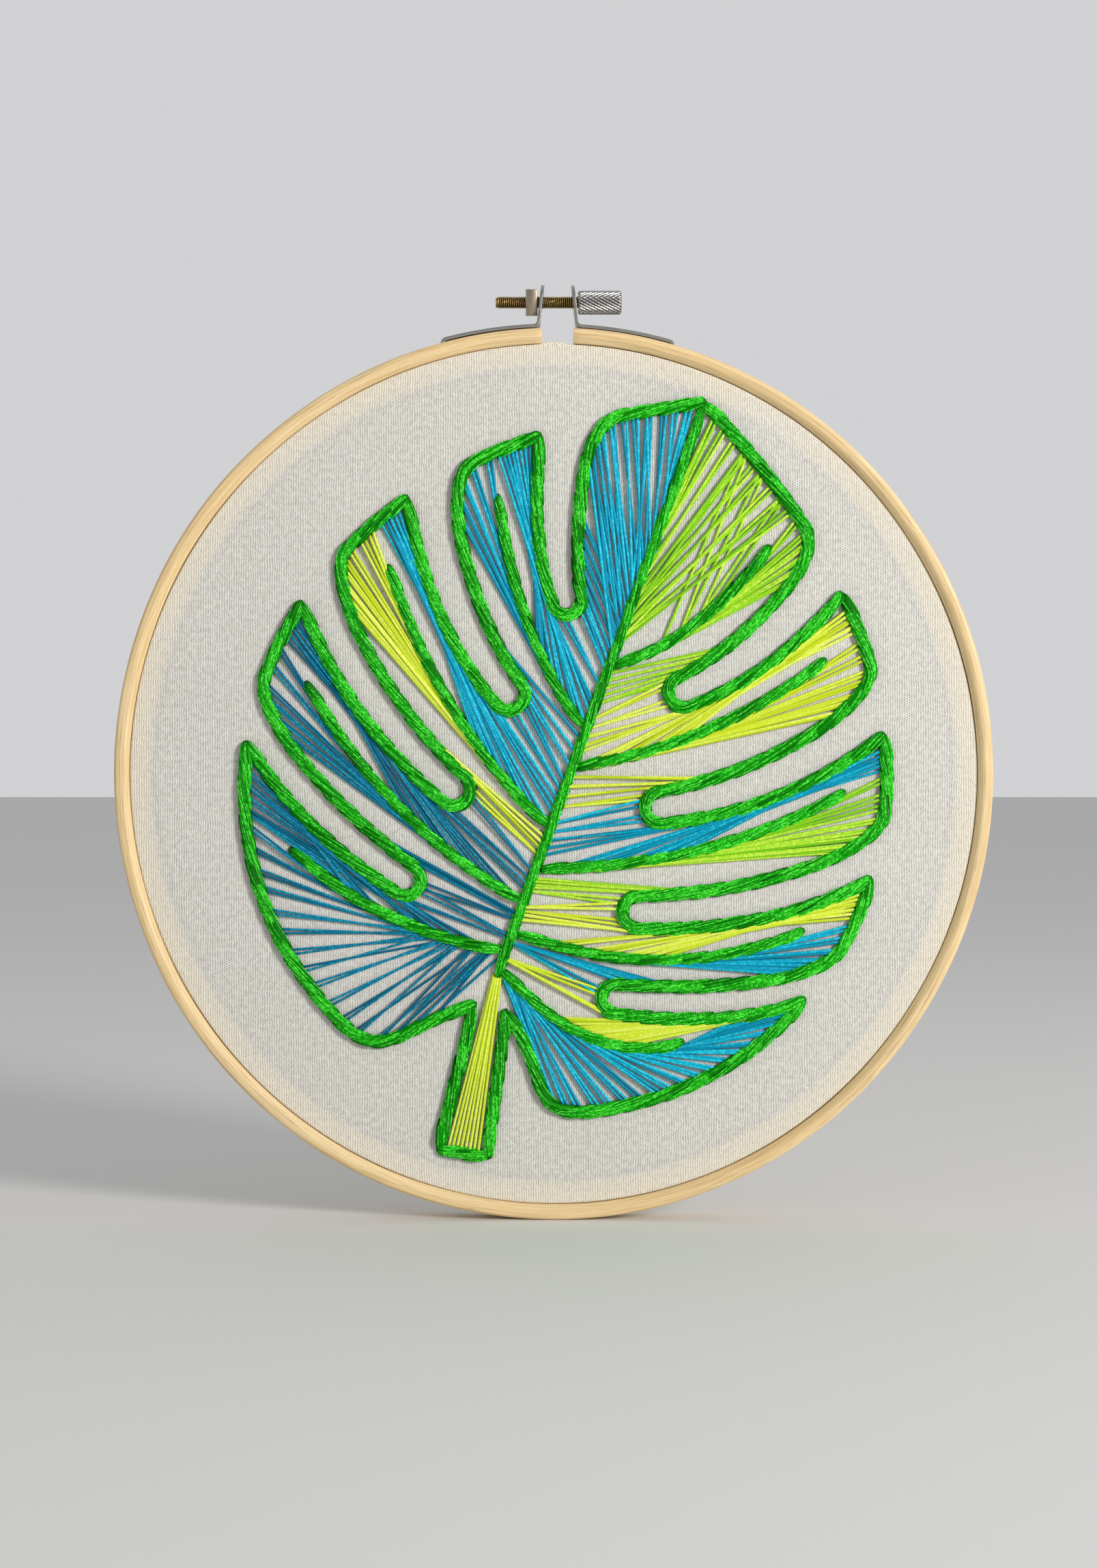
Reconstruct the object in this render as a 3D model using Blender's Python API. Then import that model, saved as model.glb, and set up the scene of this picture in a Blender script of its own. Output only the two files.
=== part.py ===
"""String art in an embroidery hoop: a swiss cheese leaf on cloth that a split wooden hoop stretches.

The hoop stands upright and faces -Y. The origin is where a nail carries it: under the clamp screw,
halfway between the two ears. Everything is in metres.
"""

import math
from collections import namedtuple

import bmesh
import bpy
import numpy as np

MM = 0.001
CLEARANCE = 0.3 * MM
OVERRUN = 1 * MM
SHARP_ANGLE = math.radians(35)

# The hoop: radii are measured along X, and the split ring stands a little taller than it is wide
HOOP_RADIUS = 105.8 * MM
HOOP_TALLER = 1.014
HOOP_SIDES = 72
RING_THICKNESS = 3.6 * MM
RING_DEPTH = 10.0 * MM
RING_EDGE = 0.5 * MM
RING_FRONT_ROUND = 1.2 * MM
ROUND_MIDDLE = 0.3
GAP_WIDTH = 7.7 * MM
INNER_RING_THICKNESS = 4.0 * MM
CLOTH_THICKNESS = 1.0 * MM
CLOTH_RECESS = 1.5 * MM
CLOTH_FOLD = RING_EDGE + CLEARANCE
FOLD_SOFTENING = 0.4 * MM

# The clamp: its screw's axis lies this high over the outer ring
SCREW_RADIUS = 1.5 * MM
SCREW_LIFT = 6.8 * MM
SCREW_START = -15.0 * MM
KNOB_START = 4.9 * MM
KNOB_LENGTH = 10.5 * MM
KNOB_RADIUS = 2.9 * MM
KNOB_CHAMFER = 0.4 * MM
NUT_FACE = -4.9 * MM
NUT_THICKNESS = 2.8 * MM
NUT_WIDTH = 5.5 * MM
NUT_TURN = math.radians(13)
NUT_CHAMFER = 0.3 * MM
ROUND_SIDES = 24

STRAP_THICKNESS = 0.75 * MM
STRAP_WIDTH = 8.0 * MM
STRAP_REACH = 28.0 * MM
STRAP_BEND = 0.8 * MM
LIP_DEPTH = 1.6 * MM
EAR_FOOT = 4.7 * MM
EAR_TIP = 3.6 * MM
EAR_OVER_SCREW = 4.0 * MM
EAR_CROWN_START = math.radians(35)
EAR_CROWN_STEPS = 4
HOLE_RADIUS = SCREW_RADIUS + CLEARANCE

# Places in the part's frame
SCREW_Z = SCREW_RADIUS
RING_TOP = SCREW_Z - SCREW_LIFT
HOOP_X = -1.0 * MM
HOOP_Z = RING_TOP - HOOP_RADIUS * HOOP_TALLER
RING_FRONT = -RING_DEPTH / 2
CLOTH_FRONT = RING_FRONT + CLOTH_RECESS
CLOTH_OUTSIDE = HOOP_RADIUS - RING_THICKNESS - CLEARANCE
INNER_RING_OUTSIDE = CLOTH_OUTSIDE - CLOTH_THICKNESS - CLEARANCE
INNER_RING_FRONT = CLOTH_FRONT + CLOTH_THICKNESS + CLEARANCE

# The leaf, drawn on the cloth round the hoop's middle: along its midrib, and across to the right of it
LEAF_TILT = math.radians(20)
LEAF_BASE = np.array([-13.5, -48.0]) * MM
MIDRIB_LENGTH = 146 * MM
MIDRIB_FOOT = 1.0 * MM
BLADE_FOCUS = 45.5 * MM
BLADE_RADIUS = 76 * MM
BLADE_TIP_FADE = math.radians(28)
BLADE_END = math.radians(150)
STALK_TILT = math.radians(11)
STALK_LENGTH = 44 * MM
STALK_HALF_TOP = 3.9 * MM
STALK_HALF_FOOT = 5.9 * MM
SINUS_DROP = 8.5 * MM
SHOULDER = math.radians(4.3)
LOWEST_LOBE_REACH = 24 * MM
LOWEST_LOBE_OUT = 17 * MM
LOWEST_LOBE_DROP = 12 * MM
RIB_SHORT = 10 * MM
CORNER_RADIUS = 1.7 * MM
CORNER_LOOK = 4 * MM
CORNER_ROOM = 1.15
ARC_STEP = 0.5
CURVE_POINTS = 9
EDGE_POINTS = 5
LEAST_STEP = 0.2 * MM
SEARCH_POINTS = 3000

# The stitched cords and the laid strings
CORD_WIDTH = 2.8 * MM
CORD_HEIGHT = 1.8 * MM
CORD_SECTION = ((-0.42, 0), (-0.5, 0.45), (-0.22, 0.95), (0.22, 0.95), (0.5, 0.45), (0.42, 0))
RIB_WIDTH = 2.6 * MM
MIDRIB_WIDTH = 2.3 * MM
STRING_WIDTH = 0.6 * MM
STRING_HEIGHT = 0.5 * MM
STRIP_WIDTH = 0.6 * MM
STRIP_BACK = RIB_WIDTH / 2 + 1.3 * CLEARANCE
STRIP_FRONT = STRIP_BACK + STRIP_WIDTH
STRIP_END = 1.7 * MM
EDGE_CLEAR = CORD_WIDTH / 2 + CLEARANCE + STRING_WIDTH / 2
EDGE_ZONE = 6 * MM
AIM_GAP = 5.0 * MM
TURN_GAP = 1.2 * MM
SPLIT_GAP = 0.9 * MM
STRING_SKEW = 0.65
STRING_STEP = 0.9 * MM
LONGEST_FOOT = 3.0 * MM
LONGEST_NOTCH = 0.7
ROOT_TRIES = 24
PATH_TESTS = 60
ROOT_TESTS = 6

LEFT, RIGHT = -1, 1

# A slit between two lobes, from the tip down: the angle of its mouth about the focus, how far the mouth
# opens either way, where its round end lies along the midrib and out from it, and that end's radius
Slit = namedtuple("Slit", "mouth_deg up_deg down_deg end_along_mm end_out_mm end_radius_mm")
SLITS = {
    LEFT: (
        Slit(20, 4.6, 3.4, 90.0, 15.0, 3.6),
        Slit(44, 5.0, 3.4, 64.0, 20.5, 4.0),
        Slit(70, 4.8, 3.4, 38.0, 25.0, 4.0),
        Slit(97, 4.6, 3.4, 13.5, 28.5, 3.8),
    ),
    RIGHT: (
        Slit(31, 4.8, 3.4, 79.0, 19.0, 3.8),
        Slit(56, 4.8, 3.4, 51.0, 23.5, 4.0),
        Slit(82, 4.6, 3.2, 25.5, 27.0, 4.0),
        Slit(107, 4.2, 3.2, 4.0, 29.0, 3.6),
    ),
}
SLIT_BOW = 0.34
SLIT_REACH = 0.60

# A side rib, from the tip down: the lobe it runs up, its start along the midrib, the point that it bends
# towards, and the angle of its free end about the focus
Rib = namedtuple("Rib", "lobe start_mm bend_along_mm bend_out_mm end_deg")
RIBS = {
    LEFT: (
        Rib(1, 62.0, 77.0, 23.5, 32),
        Rib(2, 37.0, 52.0, 34.5, 57),
        Rib(3, 18.0, 25.0, 39.0, 86),
        Rib(4, 5.5, 0.0, 33.0, 121),
    ),
    RIGHT: (
        Rib(0, 79.0, 89.0, 17.0, 20),
        Rib(1, 53.0, 67.0, 28.0, 43),
        Rib(2, 27.0, 40.0, 38.0, 69.5),
        Rib(3, 11.0, 9.5, 37.0, 99.5),
        Rib(4, 2.0, -14.5, 27.0, 134),
    ),
}

# A fan of strings in half a lobe, on its rib's side towards the tip or the stalk, or in the whole of a lobe
# that has no rib
Fan = namedtuple("Fan", "side rib half colour strings")
FANS = (
    Fan(LEFT, None, "whole", "blue", 15),
    Fan(LEFT, 0, "tip", "blue", 12),
    Fan(LEFT, 0, "stalk", "blue", 12),
    Fan(LEFT, 1, "tip", "blue", 12),
    Fan(LEFT, 1, "stalk", "lime", 12),
    Fan(LEFT, 2, "tip", "blue", 12),
    Fan(LEFT, 2, "stalk", "blue", 12),
    Fan(LEFT, 3, "tip", "blue", 12),
    Fan(LEFT, 3, "stalk", "blue", 14),
    Fan(RIGHT, 0, "tip", "lime", 16),
    Fan(RIGHT, 0, "stalk", "lime", 11),
    Fan(RIGHT, 1, "tip", "lime", 12),
    Fan(RIGHT, 1, "stalk", "lime", 12),
    Fan(RIGHT, 2, "tip", "blue", 12),
    Fan(RIGHT, 2, "stalk", "lime", 12),
    Fan(RIGHT, 3, "tip", "lime", 12),
    Fan(RIGHT, 3, "stalk", "blue", 12),
    Fan(RIGHT, 4, "tip", "lime", 11),
    Fan(RIGHT, 4, "stalk", "blue", 14),
)
OUTERMOST_ROOT = 0.96
TIP_ROOT = 135 * MM
TIP_LOBE_SPLIT = 78 * MM
FIRST_STRING = 9 * MM
LAST_STRING = 11 * MM
STALK_STRINGS = 5
STALK_BUNDLE = 2.8 * MM
STALK_BUNDLE_MARGIN = 0.1 * MM

Colour = namedtuple("Colour", "rgb roughness metallic")
COLOURS = {
    "bamboo": Colour((0.76, 0.58, 0.32), 0.5, 0.0),
    "cloth": Colour((0.66, 0.63, 0.57), 0.95, 0.0),
    "green": Colour((0.01, 0.33, 0.02), 0.55, 0.0),
    "blue": Colour((0.01, 0.20, 0.42), 0.5, 0.0),
    "lime": Colour((0.62, 0.76, 0.03), 0.5, 0.0),
    "steel": Colour((0.55, 0.55, 0.54), 0.35, 1.0),
    "brass": Colour((0.55, 0.46, 0.26), 0.35, 1.0),
}


def clear_scene():
    for thing in list(bpy.data.objects):
        bpy.data.objects.remove(thing, do_unlink=True)


def material(name):
    found = bpy.data.materials.get(name)
    if found:
        return found
    made = bpy.data.materials.new(name)
    made.use_nodes = True
    shader = made.node_tree.nodes["Principled BSDF"]
    shader.inputs["Base Color"].default_value = (*COLOURS[name].rgb, 1)
    shader.inputs["Roughness"].default_value = COLOURS[name].roughness
    shader.inputs["Metallic"].default_value = COLOURS[name].metallic
    return made


def solid(name, points, faces, colour):
    """An object from its points and faces, with its faces turned outwards."""
    mesh = bpy.data.meshes.new(name)
    mesh.from_pydata([tuple(map(float, p)) for p in points], [], faces)
    shape = bmesh.new()
    shape.from_mesh(mesh)
    bmesh.ops.recalc_face_normals(shape, faces=shape.faces)
    shape.to_mesh(mesh)
    shape.free()
    mesh.shade_smooth()
    mesh.set_sharp_from_angle(angle=SHARP_ANGLE)
    mesh.materials.append(material(colour))
    made = bpy.data.objects.new(name, mesh)
    bpy.context.scene.collection.objects.link(made)
    return made


def skin(rings, closed):
    """The faces between rings of points, with an end face at each end unless the rings close."""
    count, sides = len(rings), len(rings[0])
    faces = []
    for k in range(count if closed else count - 1):
        here, there = k * sides, (k + 1) % count * sides
        for s in range(sides):
            t = (s + 1) % sides
            faces.append((here + s, here + t, there + t, there + s))
    if not closed:
        faces.append(tuple(range(sides)))
        faces.append(tuple(range((count - 1) * sides, count * sides)))
    return [p for ring in rings for p in ring], faces


def swept(name, rings, colour, closed=False):
    return solid(name, *skin(rings, closed), colour)


def cut(target, cutter):
    cutter.hide_render = True
    cutter.display_type = "WIRE"
    modifier = target.modifiers.new("Cut " + cutter.name, "BOOLEAN")
    modifier.operation = "DIFFERENCE"
    modifier.object = cutter


# Plane curves, as arrays of points with two coordinates


def unit(vector):
    return vector / np.linalg.norm(vector)


def stations(path):
    """How far along the path each of its points lies."""
    return np.concatenate([[0], np.cumsum(np.linalg.norm(np.diff(path, axis=0), axis=1))])


def point_on(path, distance):
    along = stations(path)
    return np.stack([np.interp(distance, along, path[:, k]) for k in (0, 1)], axis=-1)


def nearest_station(path, point):
    """How far along the path its nearest place to a point lies."""
    tries = np.linspace(0, stations(path)[-1], SEARCH_POINTS)
    return tries[np.linalg.norm(point_on(path, tries) - point, axis=1).argmin()]


def part_of(path, start, end):
    """The stretch of a path between two stations, the other way round where the first is the greater."""
    low, high = sorted((start, end))
    along = stations(path)
    inside = path[(along > low + LEAST_STEP) & (along < high - LEAST_STEP)]
    stretch = np.vstack([point_on(path, low), inside, point_on(path, high)])
    return stretch if start < end else stretch[::-1]


def bezier(controls, count):
    t = np.linspace(0, 1, count)[:, None]
    while len(controls) > 1:
        controls = [(1 - t) * a + t * b for a, b in zip(controls, controls[1:])]
    return controls[0]


def offset(path, distance, closed=False):
    """The path moved sideways, to its left for a distance over 0, with mitred corners."""
    loop = np.vstack([path[-1:], path, path[:1]]) if closed else path
    steps = np.diff(loop, axis=0)
    steps /= np.linalg.norm(steps, axis=1)[:, None]
    normals = np.stack([-steps[:, 1], steps[:, 0]], axis=1)
    if not closed:
        normals = np.vstack([normals[:1], normals, normals[-1:]])
    before, after = normals[:-1], normals[1:]
    joints = before + after
    return path + 2 * distance * joints / (joints * joints).sum(axis=1)[:, None]


def arc(corner, back, ahead, radius):
    """An arc that rounds a corner, given the directions back and ahead from it."""
    half = math.acos(np.clip(back @ ahead, -1, 1)) / 2
    centre = corner + unit(back + ahead) * radius / math.sin(half)
    first = corner + back * radius / math.tan(half) - centre
    turn = math.copysign(math.pi - 2 * half, back[1] * ahead[0] - back[0] * ahead[1])
    angles = np.linspace(0, turn, max(3, round(abs(turn) / ARC_STEP)))
    left = np.array([-first[1], first[0]])
    return [centre + math.cos(a) * first + math.sin(a) * left for a in angles], radius / math.tan(half)


def joined(runs, radius, closed):
    """Runs that meet at corners, as one path with the corners rounded."""
    arcs = []
    for before, after in zip(runs, runs[1:] + runs[:1]):
        corner = after[0]
        back = unit(point_on(before[::-1], CORNER_LOOK) - corner)
        ahead = unit(point_on(after, CORNER_LOOK) - corner)
        arcs.append((corner, *arc(corner, back, ahead, radius)) if closed or after is not runs[0] else None)
    path = []
    for k, run in enumerate(runs):
        for end in (arcs[k - 1], arcs[k]):
            if end:
                run = run[np.linalg.norm(run - end[0], axis=1) > CORNER_ROOM * end[2]]
        path += [*run, *(arcs[k][1] if arcs[k] else [])]
    return np.array(path)


def distances(points, path):
    """Each point's distance from a path."""
    starts, steps = path[:-1], np.diff(path, axis=0)
    away = points[:, None] - starts
    share = np.clip((away * steps).sum(axis=2) / (steps * steps).sum(axis=1), 0, 1)
    return np.linalg.norm(away - share[..., None] * steps, axis=2).min(axis=1)


# The leaf's lines


def leaning(tilt):
    """The directions along and across a line that leans to the right."""
    return np.array([math.sin(tilt), math.cos(tilt)]), np.array([math.cos(tilt), -math.sin(tilt)])


def at(along, out, side=RIGHT):
    up, across = leaning(LEAF_TILT)
    return LEAF_BASE + along * up + side * out * across


def margin(angle, side):
    """The blade's edge without its slits, at an angle from the tip about the focus."""
    rise = MIDRIB_LENGTH - BLADE_FOCUS - BLADE_RADIUS
    radius = BLADE_RADIUS + rise * math.exp(-angle / BLADE_TIP_FADE)
    return at(BLADE_FOCUS + radius * math.cos(angle), radius * math.sin(angle), side)


def slit_edges(slit, side):
    """The slit's upper edge inwards, the turn round its end, and its lower edge outwards."""
    up, across = leaning(LEAF_TILT)
    radius = slit.end_radius_mm * MM
    mouth = margin(math.radians(slit.mouth_deg), side)
    lip = margin(math.radians(slit.mouth_deg - slit.up_deg), side)
    apex = margin(math.radians(slit.mouth_deg + slit.down_deg), side)
    inner = at(slit.end_along_mm * MM, slit.end_out_mm * MM, side)
    bow, reach = SLIT_BOW * (mouth - inner) @ up, SLIT_REACH * (mouth - inner) @ across
    bend = inner + bow * up + reach * across
    outwards = unit(bend - inner)
    chord = unit(mouth - bend) + outwards
    tipwards = side * np.array([-outwards[1], outwards[0]])
    bend_tipwards = side * unit(np.array([-chord[1], chord[0]]))
    wide = (radius + np.linalg.norm(lip - apex) / 2) / 2
    upper = bezier([lip, bend + wide * bend_tipwards, inner + radius * tipwards], CURVE_POINTS)
    lower = bezier([inner - radius * tipwards, bend - wide * bend_tipwards, apex], CURVE_POINTS)
    turn = [
        inner + radius * (math.cos(a) * tipwards - math.sin(a) * outwards)
        for a in np.linspace(0, math.pi, EDGE_POINTS + 2)[1:-1]
    ]
    return upper, turn, lower


def blade_runs(side):
    """Half the blade's outline from the tip to the stalk, in runs that meet at the lobes' points."""
    up, across = leaning(LEAF_TILT)
    runs = []
    start = 0.0
    for slit in SLITS[side]:
        upper, turn, lower = slit_edges(slit, side)
        end = math.radians(slit.mouth_deg - slit.up_deg) - SHOULDER
        edge = [margin(a, side) for a in np.linspace(start, end, EDGE_POINTS)]
        round_shoulder = bezier([edge[-1], upper[0], upper[2]], EDGE_POINTS)[1:-1]
        runs.append(np.array([*edge, *round_shoulder, *upper[2:], *turn, *lower]))
        start = math.radians(slit.mouth_deg + slit.down_deg)
    edge = [margin(a, side) for a in np.linspace(start, BLADE_END, EDGE_POINTS + 2)]
    corner, _ = stalk_side(side)
    ahead = edge[-1] + LOWEST_LOBE_REACH * unit(edge[-1] - edge[-2])
    beside = corner + LOWEST_LOBE_OUT * side * across - LOWEST_LOBE_DROP * up
    lobe = bezier([edge[-1], ahead, beside, corner], CURVE_POINTS)
    runs.append(np.array([*edge, *lobe[1:]]))
    return runs


def stalk_side(side):
    down, right = -leaning(STALK_TILT)[0], leaning(STALK_TILT)[1]
    top = LEAF_BASE + SINUS_DROP * down + side * STALK_HALF_TOP * right
    foot = LEAF_BASE + STALK_LENGTH * down + side * STALK_HALF_FOOT * right
    return np.array([top, foot])


def outline_path():
    right, left = (blade_runs(side) + [stalk_side(side)] for side in (RIGHT, LEFT))
    foot = np.array([right[-1][-1], left[-1][-1]])
    runs = right + [foot] + [run[::-1] for run in reversed(left)]
    return joined(runs, CORNER_RADIUS, closed=True)


def rib_path(rib, side):
    """A side rib's middle line, from the midrib's out to its free end."""
    focus = at(BLADE_FOCUS, 0)
    edge = margin(math.radians(rib.end_deg), side)
    end = edge - RIB_SHORT * unit(edge - focus)
    bend = at(rib.bend_along_mm * MM, rib.bend_out_mm * MM, side)
    return bezier([at(rib.start_mm * MM, 0), bend, end], CURVE_POINTS)


# The strings of a fan, and the strip along the rib that they spring from


def half_lobe(fan):
    """The fan's root path from the rib's free end inwards, and the blade's edge with two stations on it."""
    edge = np.vstack([run if k == 0 else run[1:] for k, run in enumerate(blade_runs(fan.side))])
    turns = []
    for slit in SLITS[fan.side]:
        innermost = at(slit.end_along_mm * MM, (slit.end_out_mm - slit.end_radius_mm) * MM, fan.side)
        turns.append(nearest_station(edge, innermost))
    if fan.rib is None:
        return np.array([at(TIP_ROOT, 0), at(TIP_LOBE_SPLIT, 0)]), edge, FIRST_STRING, turns[0] - TURN_GAP
    ribs = RIBS[fan.side]
    rib = ribs[fan.rib]
    line = rib_path(rib, fan.side)
    aim = nearest_station(edge, line[-1] + RIB_SHORT * unit(line[-1] - line[-2]))
    outermost = OUTERMOST_ROOT * stations(line)[-1]
    if fan.half == "stalk" and fan.rib == len(ribs) - 1:
        nearest = 2 * STRIP_FRONT
        return part_of(line, outermost, nearest), edge, aim + AIM_GAP, stations(edge)[-1] - LAST_STRING
    start = rib.start_mm * MM
    if fan.half == "stalk":
        split = (start + ribs[fan.rib + 1].start_mm * MM + SPLIT_GAP) / 2
        near, far = aim + AIM_GAP, turns[rib.lobe] - TURN_GAP
    elif rib.lobe == 0:
        split, near, far = TIP_ROOT, aim - AIM_GAP, FIRST_STRING
    else:
        upper = ribs[fan.rib - 1].start_mm * MM if fan.rib else 2 * TIP_LOBE_SPLIT - start
        split = (start + upper - SPLIT_GAP) / 2
        near, far = aim - AIM_GAP, turns[rib.lobe - 1] + TURN_GAP
    return np.vstack([part_of(line, outermost, 0), at(split, 0)]), edge, near, far


def string_edges(front, station, tip):
    """A string's shape: the start and end of its foot on the front edge, and its four corners."""
    half = STRING_WIDTH / 2
    root = point_on(front, station)
    way = unit(tip - root)
    ahead = unit(point_on(front, station + half) - point_on(front, station - half))
    beside = np.array([-way[1], way[0]])
    beside *= math.copysign(half, beside @ ahead)
    foot = half / abs(way[0] * ahead[1] - way[1] * ahead[0])
    corners = (root - beside, tip - beside, tip + beside, root + beside)
    return station - foot, station + foot, corners


def notch(lower, upper):
    """Where two strings' facing sides part, as shares of their lengths, or None for feet that lie apart."""
    if lower[1] < upper[0]:
        return None
    (_, _, low_tip, low_root), (high_root, high_tip, _, _) = lower[2], upper[2]
    ways = np.stack([low_tip - low_root, high_root - high_tip], axis=1)
    return np.linalg.solve(ways, high_root - low_root)


def follows(shape, last):
    """Whether a string's foot is short, and it parts from the string before it well before their tips."""
    if shape[1] - shape[0] > LONGEST_FOOT:
        return False
    if last is None:
        return True
    meet = notch(last, shape)
    tips_part = np.linalg.norm(shape[2][1] - last[2][2]) > STRING_WIDTH
    return tips_part and (meet is None or (0 < meet.min() and meet.max() < LONGEST_NOTCH))


def strings_of(fan, outline):
    """The strip's back and front edges, and the shapes of the strings between it and the blade's edge."""
    root, edge, near, far = half_lobe(fan)
    hand = -fan.side if fan.half == "tip" else fan.side
    back, front = offset(root, hand * STRIP_BACK), offset(root, hand * STRIP_FRONT)
    length = stations(front)[-1]
    cords = np.vstack([outline, outline[:1]])
    found = []
    least = STRIP_END
    for share in np.linspace(0, 1, fan.strings):
        end = point_on(edge, near + (far - near) * share)
        wanted = STRIP_END + (length - 2 * STRIP_END) * share**STRING_SKEW
        for station in np.linspace(wanted, least, ROOT_TRIES) if wanted >= least else ():
            start = point_on(front, station)
            points = start + np.linspace(0, 1, PATH_TESTS)[:, None] * (end - start)
            free = distances(points, cords) > EDGE_CLEAR
            open_way = free[np.linalg.norm(points - end, axis=1) > EDGE_ZONE]
            grazes = distances(points[ROOT_TESTS:], root) < STRIP_FRONT
            if not open_way.any() or not open_way.all() or grazes.any():
                continue
            shape = string_edges(front, station, points[np.flatnonzero(free)[-1]])
            if follows(shape, found[-1] if found else None):
                found.append(shape)
                least = station + STRING_STEP
                break
    return back, front, found


def comb(back, front, strings):
    """The outline of a strip with its strings standing out from its front edge."""
    along = stations(front)[::-1]
    backwards = front[::-1]
    corners = [*back, *backwards[along > strings[-1][1]], point_on(front, strings[-1][1])]
    for k in range(len(strings) - 1, -1, -1):
        foot_start, _, (left_root, left_tip, right_tip, _) = strings[k]
        corners += [right_tip, left_tip]
        if k == 0:
            corners += [point_on(front, foot_start), *backwards[along < foot_start]]
            break
        meet = notch(strings[k - 1], strings[k])
        if meet is None:
            lower_end = strings[k - 1][1]
            between = (along < foot_start) & (along > lower_end)
            corners += [point_on(front, foot_start), *backwards[between], point_on(front, lower_end)]
        else:
            corners.append(left_root + meet[1] * (left_tip - left_root))
    return np.array(corners)


# The pieces


def on_cloth(point, height):
    """A point of the drawing, at a height over the stitches' seat on the cloth."""
    return HOOP_X + point[0], CLOTH_FRONT - CLEARANCE - height, HOOP_Z + point[1]


def cord(name, path, width, colour, closed=False):
    """A stitched cord with a rounded back, lying on the cloth."""
    sides = [(offset(path, share * width, closed), height * CORD_HEIGHT) for share, height in CORD_SECTION]
    rings = [[on_cloth(side[k], height) for side, height in sides] for k in range(len(path))]
    return swept(name, rings, colour, closed)


def plate(name, corners, colour):
    """A flat shape of the strings' height, lying on the cloth."""
    rings = [[on_cloth(c, height) for c in corners] for height in (0, STRING_HEIGHT)]
    return swept(name, rings, colour)


def leaf():
    outline = outline_path()
    cord("leaf_outline", outline, CORD_WIDTH, "green", closed=True)
    tip = MIDRIB_LENGTH - CORD_WIDTH
    cord("midrib", np.array([at(-MIDRIB_FOOT, 0), at(tip, 0)]), MIDRIB_WIDTH, "green")
    for side, word in ((LEFT, "left"), (RIGHT, "right")):
        for k, rib in enumerate(RIBS[side]):
            line = rib_path(rib, side)
            lean = unit(line[1] - line[0]) @ leaning(LEAF_TILT)[0]
            reach = MIDRIB_WIDTH / 2 + CLEARANCE + RIB_WIDTH / 2 * abs(lean)
            shown = part_of(line, reach / math.sqrt(1 - lean * lean), stations(line)[-1])
            cord(f"rib_{word}_{k + 1}", shown, RIB_WIDTH, "green")
    for fan in FANS:
        word = "left" if fan.side == LEFT else "right"
        number = 0 if fan.rib is None else fan.rib + 1
        plate(f"strings_{word}_{number}_{fan.half}", comb(*strings_of(fan, outline)), fan.colour)
    stalk_strings()


def stalk_strings():
    """The strings down the stalk, from under the midrib's foot."""
    (left_top, left_foot), (right_top, right_foot) = stalk_side(LEFT), stalk_side(RIGHT)
    top = (left_top + right_top) / 2
    across = unit(right_top - left_top)
    up = unit((left_top + right_top - left_foot - right_foot) / 2)
    half = STALK_BUNDLE / 2
    lift = SINUS_DROP - MIDRIB_FOOT - 3 * STRIP_WIDTH
    front = np.array([top + lift * up - half * across, top + lift * up + half * across])
    foot = (left_foot + right_foot) / 2 + (CORD_WIDTH / 2 + CLEARANCE) * up
    strings = []
    for share in np.linspace(-1, 1, STALK_STRINGS):
        tip = foot + share * (STALK_HALF_FOOT - EDGE_CLEAR - STRING_WIDTH) * across
        station = half + share * (half - STRING_WIDTH / 2 - STALK_BUNDLE_MARGIN)
        strings.append(string_edges(front, station, tip))
    plate("strings_stalk", comb(front + STRIP_WIDTH * up, front, strings), "lime")


def round_hoop(radius, angle, y):
    """A point at a radius from the hoop's middle, at an angle from its top towards +X."""
    x = HOOP_X + radius * math.sin(angle)
    return x, y, HOOP_Z + radius * HOOP_TALLER * math.cos(angle)


def hoop_angle(x):
    """The angle at which the outer ring's outside passes over a place on X near the top."""
    return math.asin((x - HOOP_X) / HOOP_RADIUS)


def hoop_ring(name, profile, colour, start=0.0, end=2 * math.pi):
    """A profile of radius and Y carried round the hoop, the whole way or between two angles."""
    whole = end - start >= 2 * math.pi
    step = 2 * math.pi / HOOP_SIDES
    if whole:
        angles = np.arange(HOOP_SIDES) * step
    else:
        between = np.arange(math.floor(start / step) + 1, math.ceil(end / step)) * step
        angles = np.array([start, *between, end])
    rings = [[round_hoop(radius, angle, y) for radius, y in profile] for angle in angles]
    return swept(name, rings, colour, closed=whole)


def rounded_ring_profile(outside, inside, front, back, front_round):
    edge = RING_EDGE
    return [
        (outside - edge, front),
        (outside, front + edge),
        (outside, back - edge),
        (outside - edge, back),
        (inside + edge, back),
        (inside, back - edge),
        (inside, front + front_round),
        (inside + ROUND_MIDDLE * front_round, front + ROUND_MIDDLE * front_round),
        (inside + front_round, front),
    ]


def outer_ring():
    inside = HOOP_RADIUS - RING_THICKNESS
    profile = rounded_ring_profile(HOOP_RADIUS, inside, RING_FRONT, -RING_FRONT, RING_FRONT_ROUND)
    right, left = hoop_angle(GAP_WIDTH / 2), hoop_angle(-GAP_WIDTH / 2)
    ring = hoop_ring("outer_ring", profile, "bamboo", right, left + 2 * math.pi)
    for side in (LEFT, RIGHT):
        cut(ring, lip_notch(side))


def inner_ring():
    inside = INNER_RING_OUTSIDE - INNER_RING_THICKNESS
    back = INNER_RING_FRONT + RING_DEPTH
    profile = rounded_ring_profile(INNER_RING_OUTSIDE, inside, INNER_RING_FRONT, back, RING_EDGE)
    hoop_ring("inner_ring", profile, "bamboo")


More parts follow.
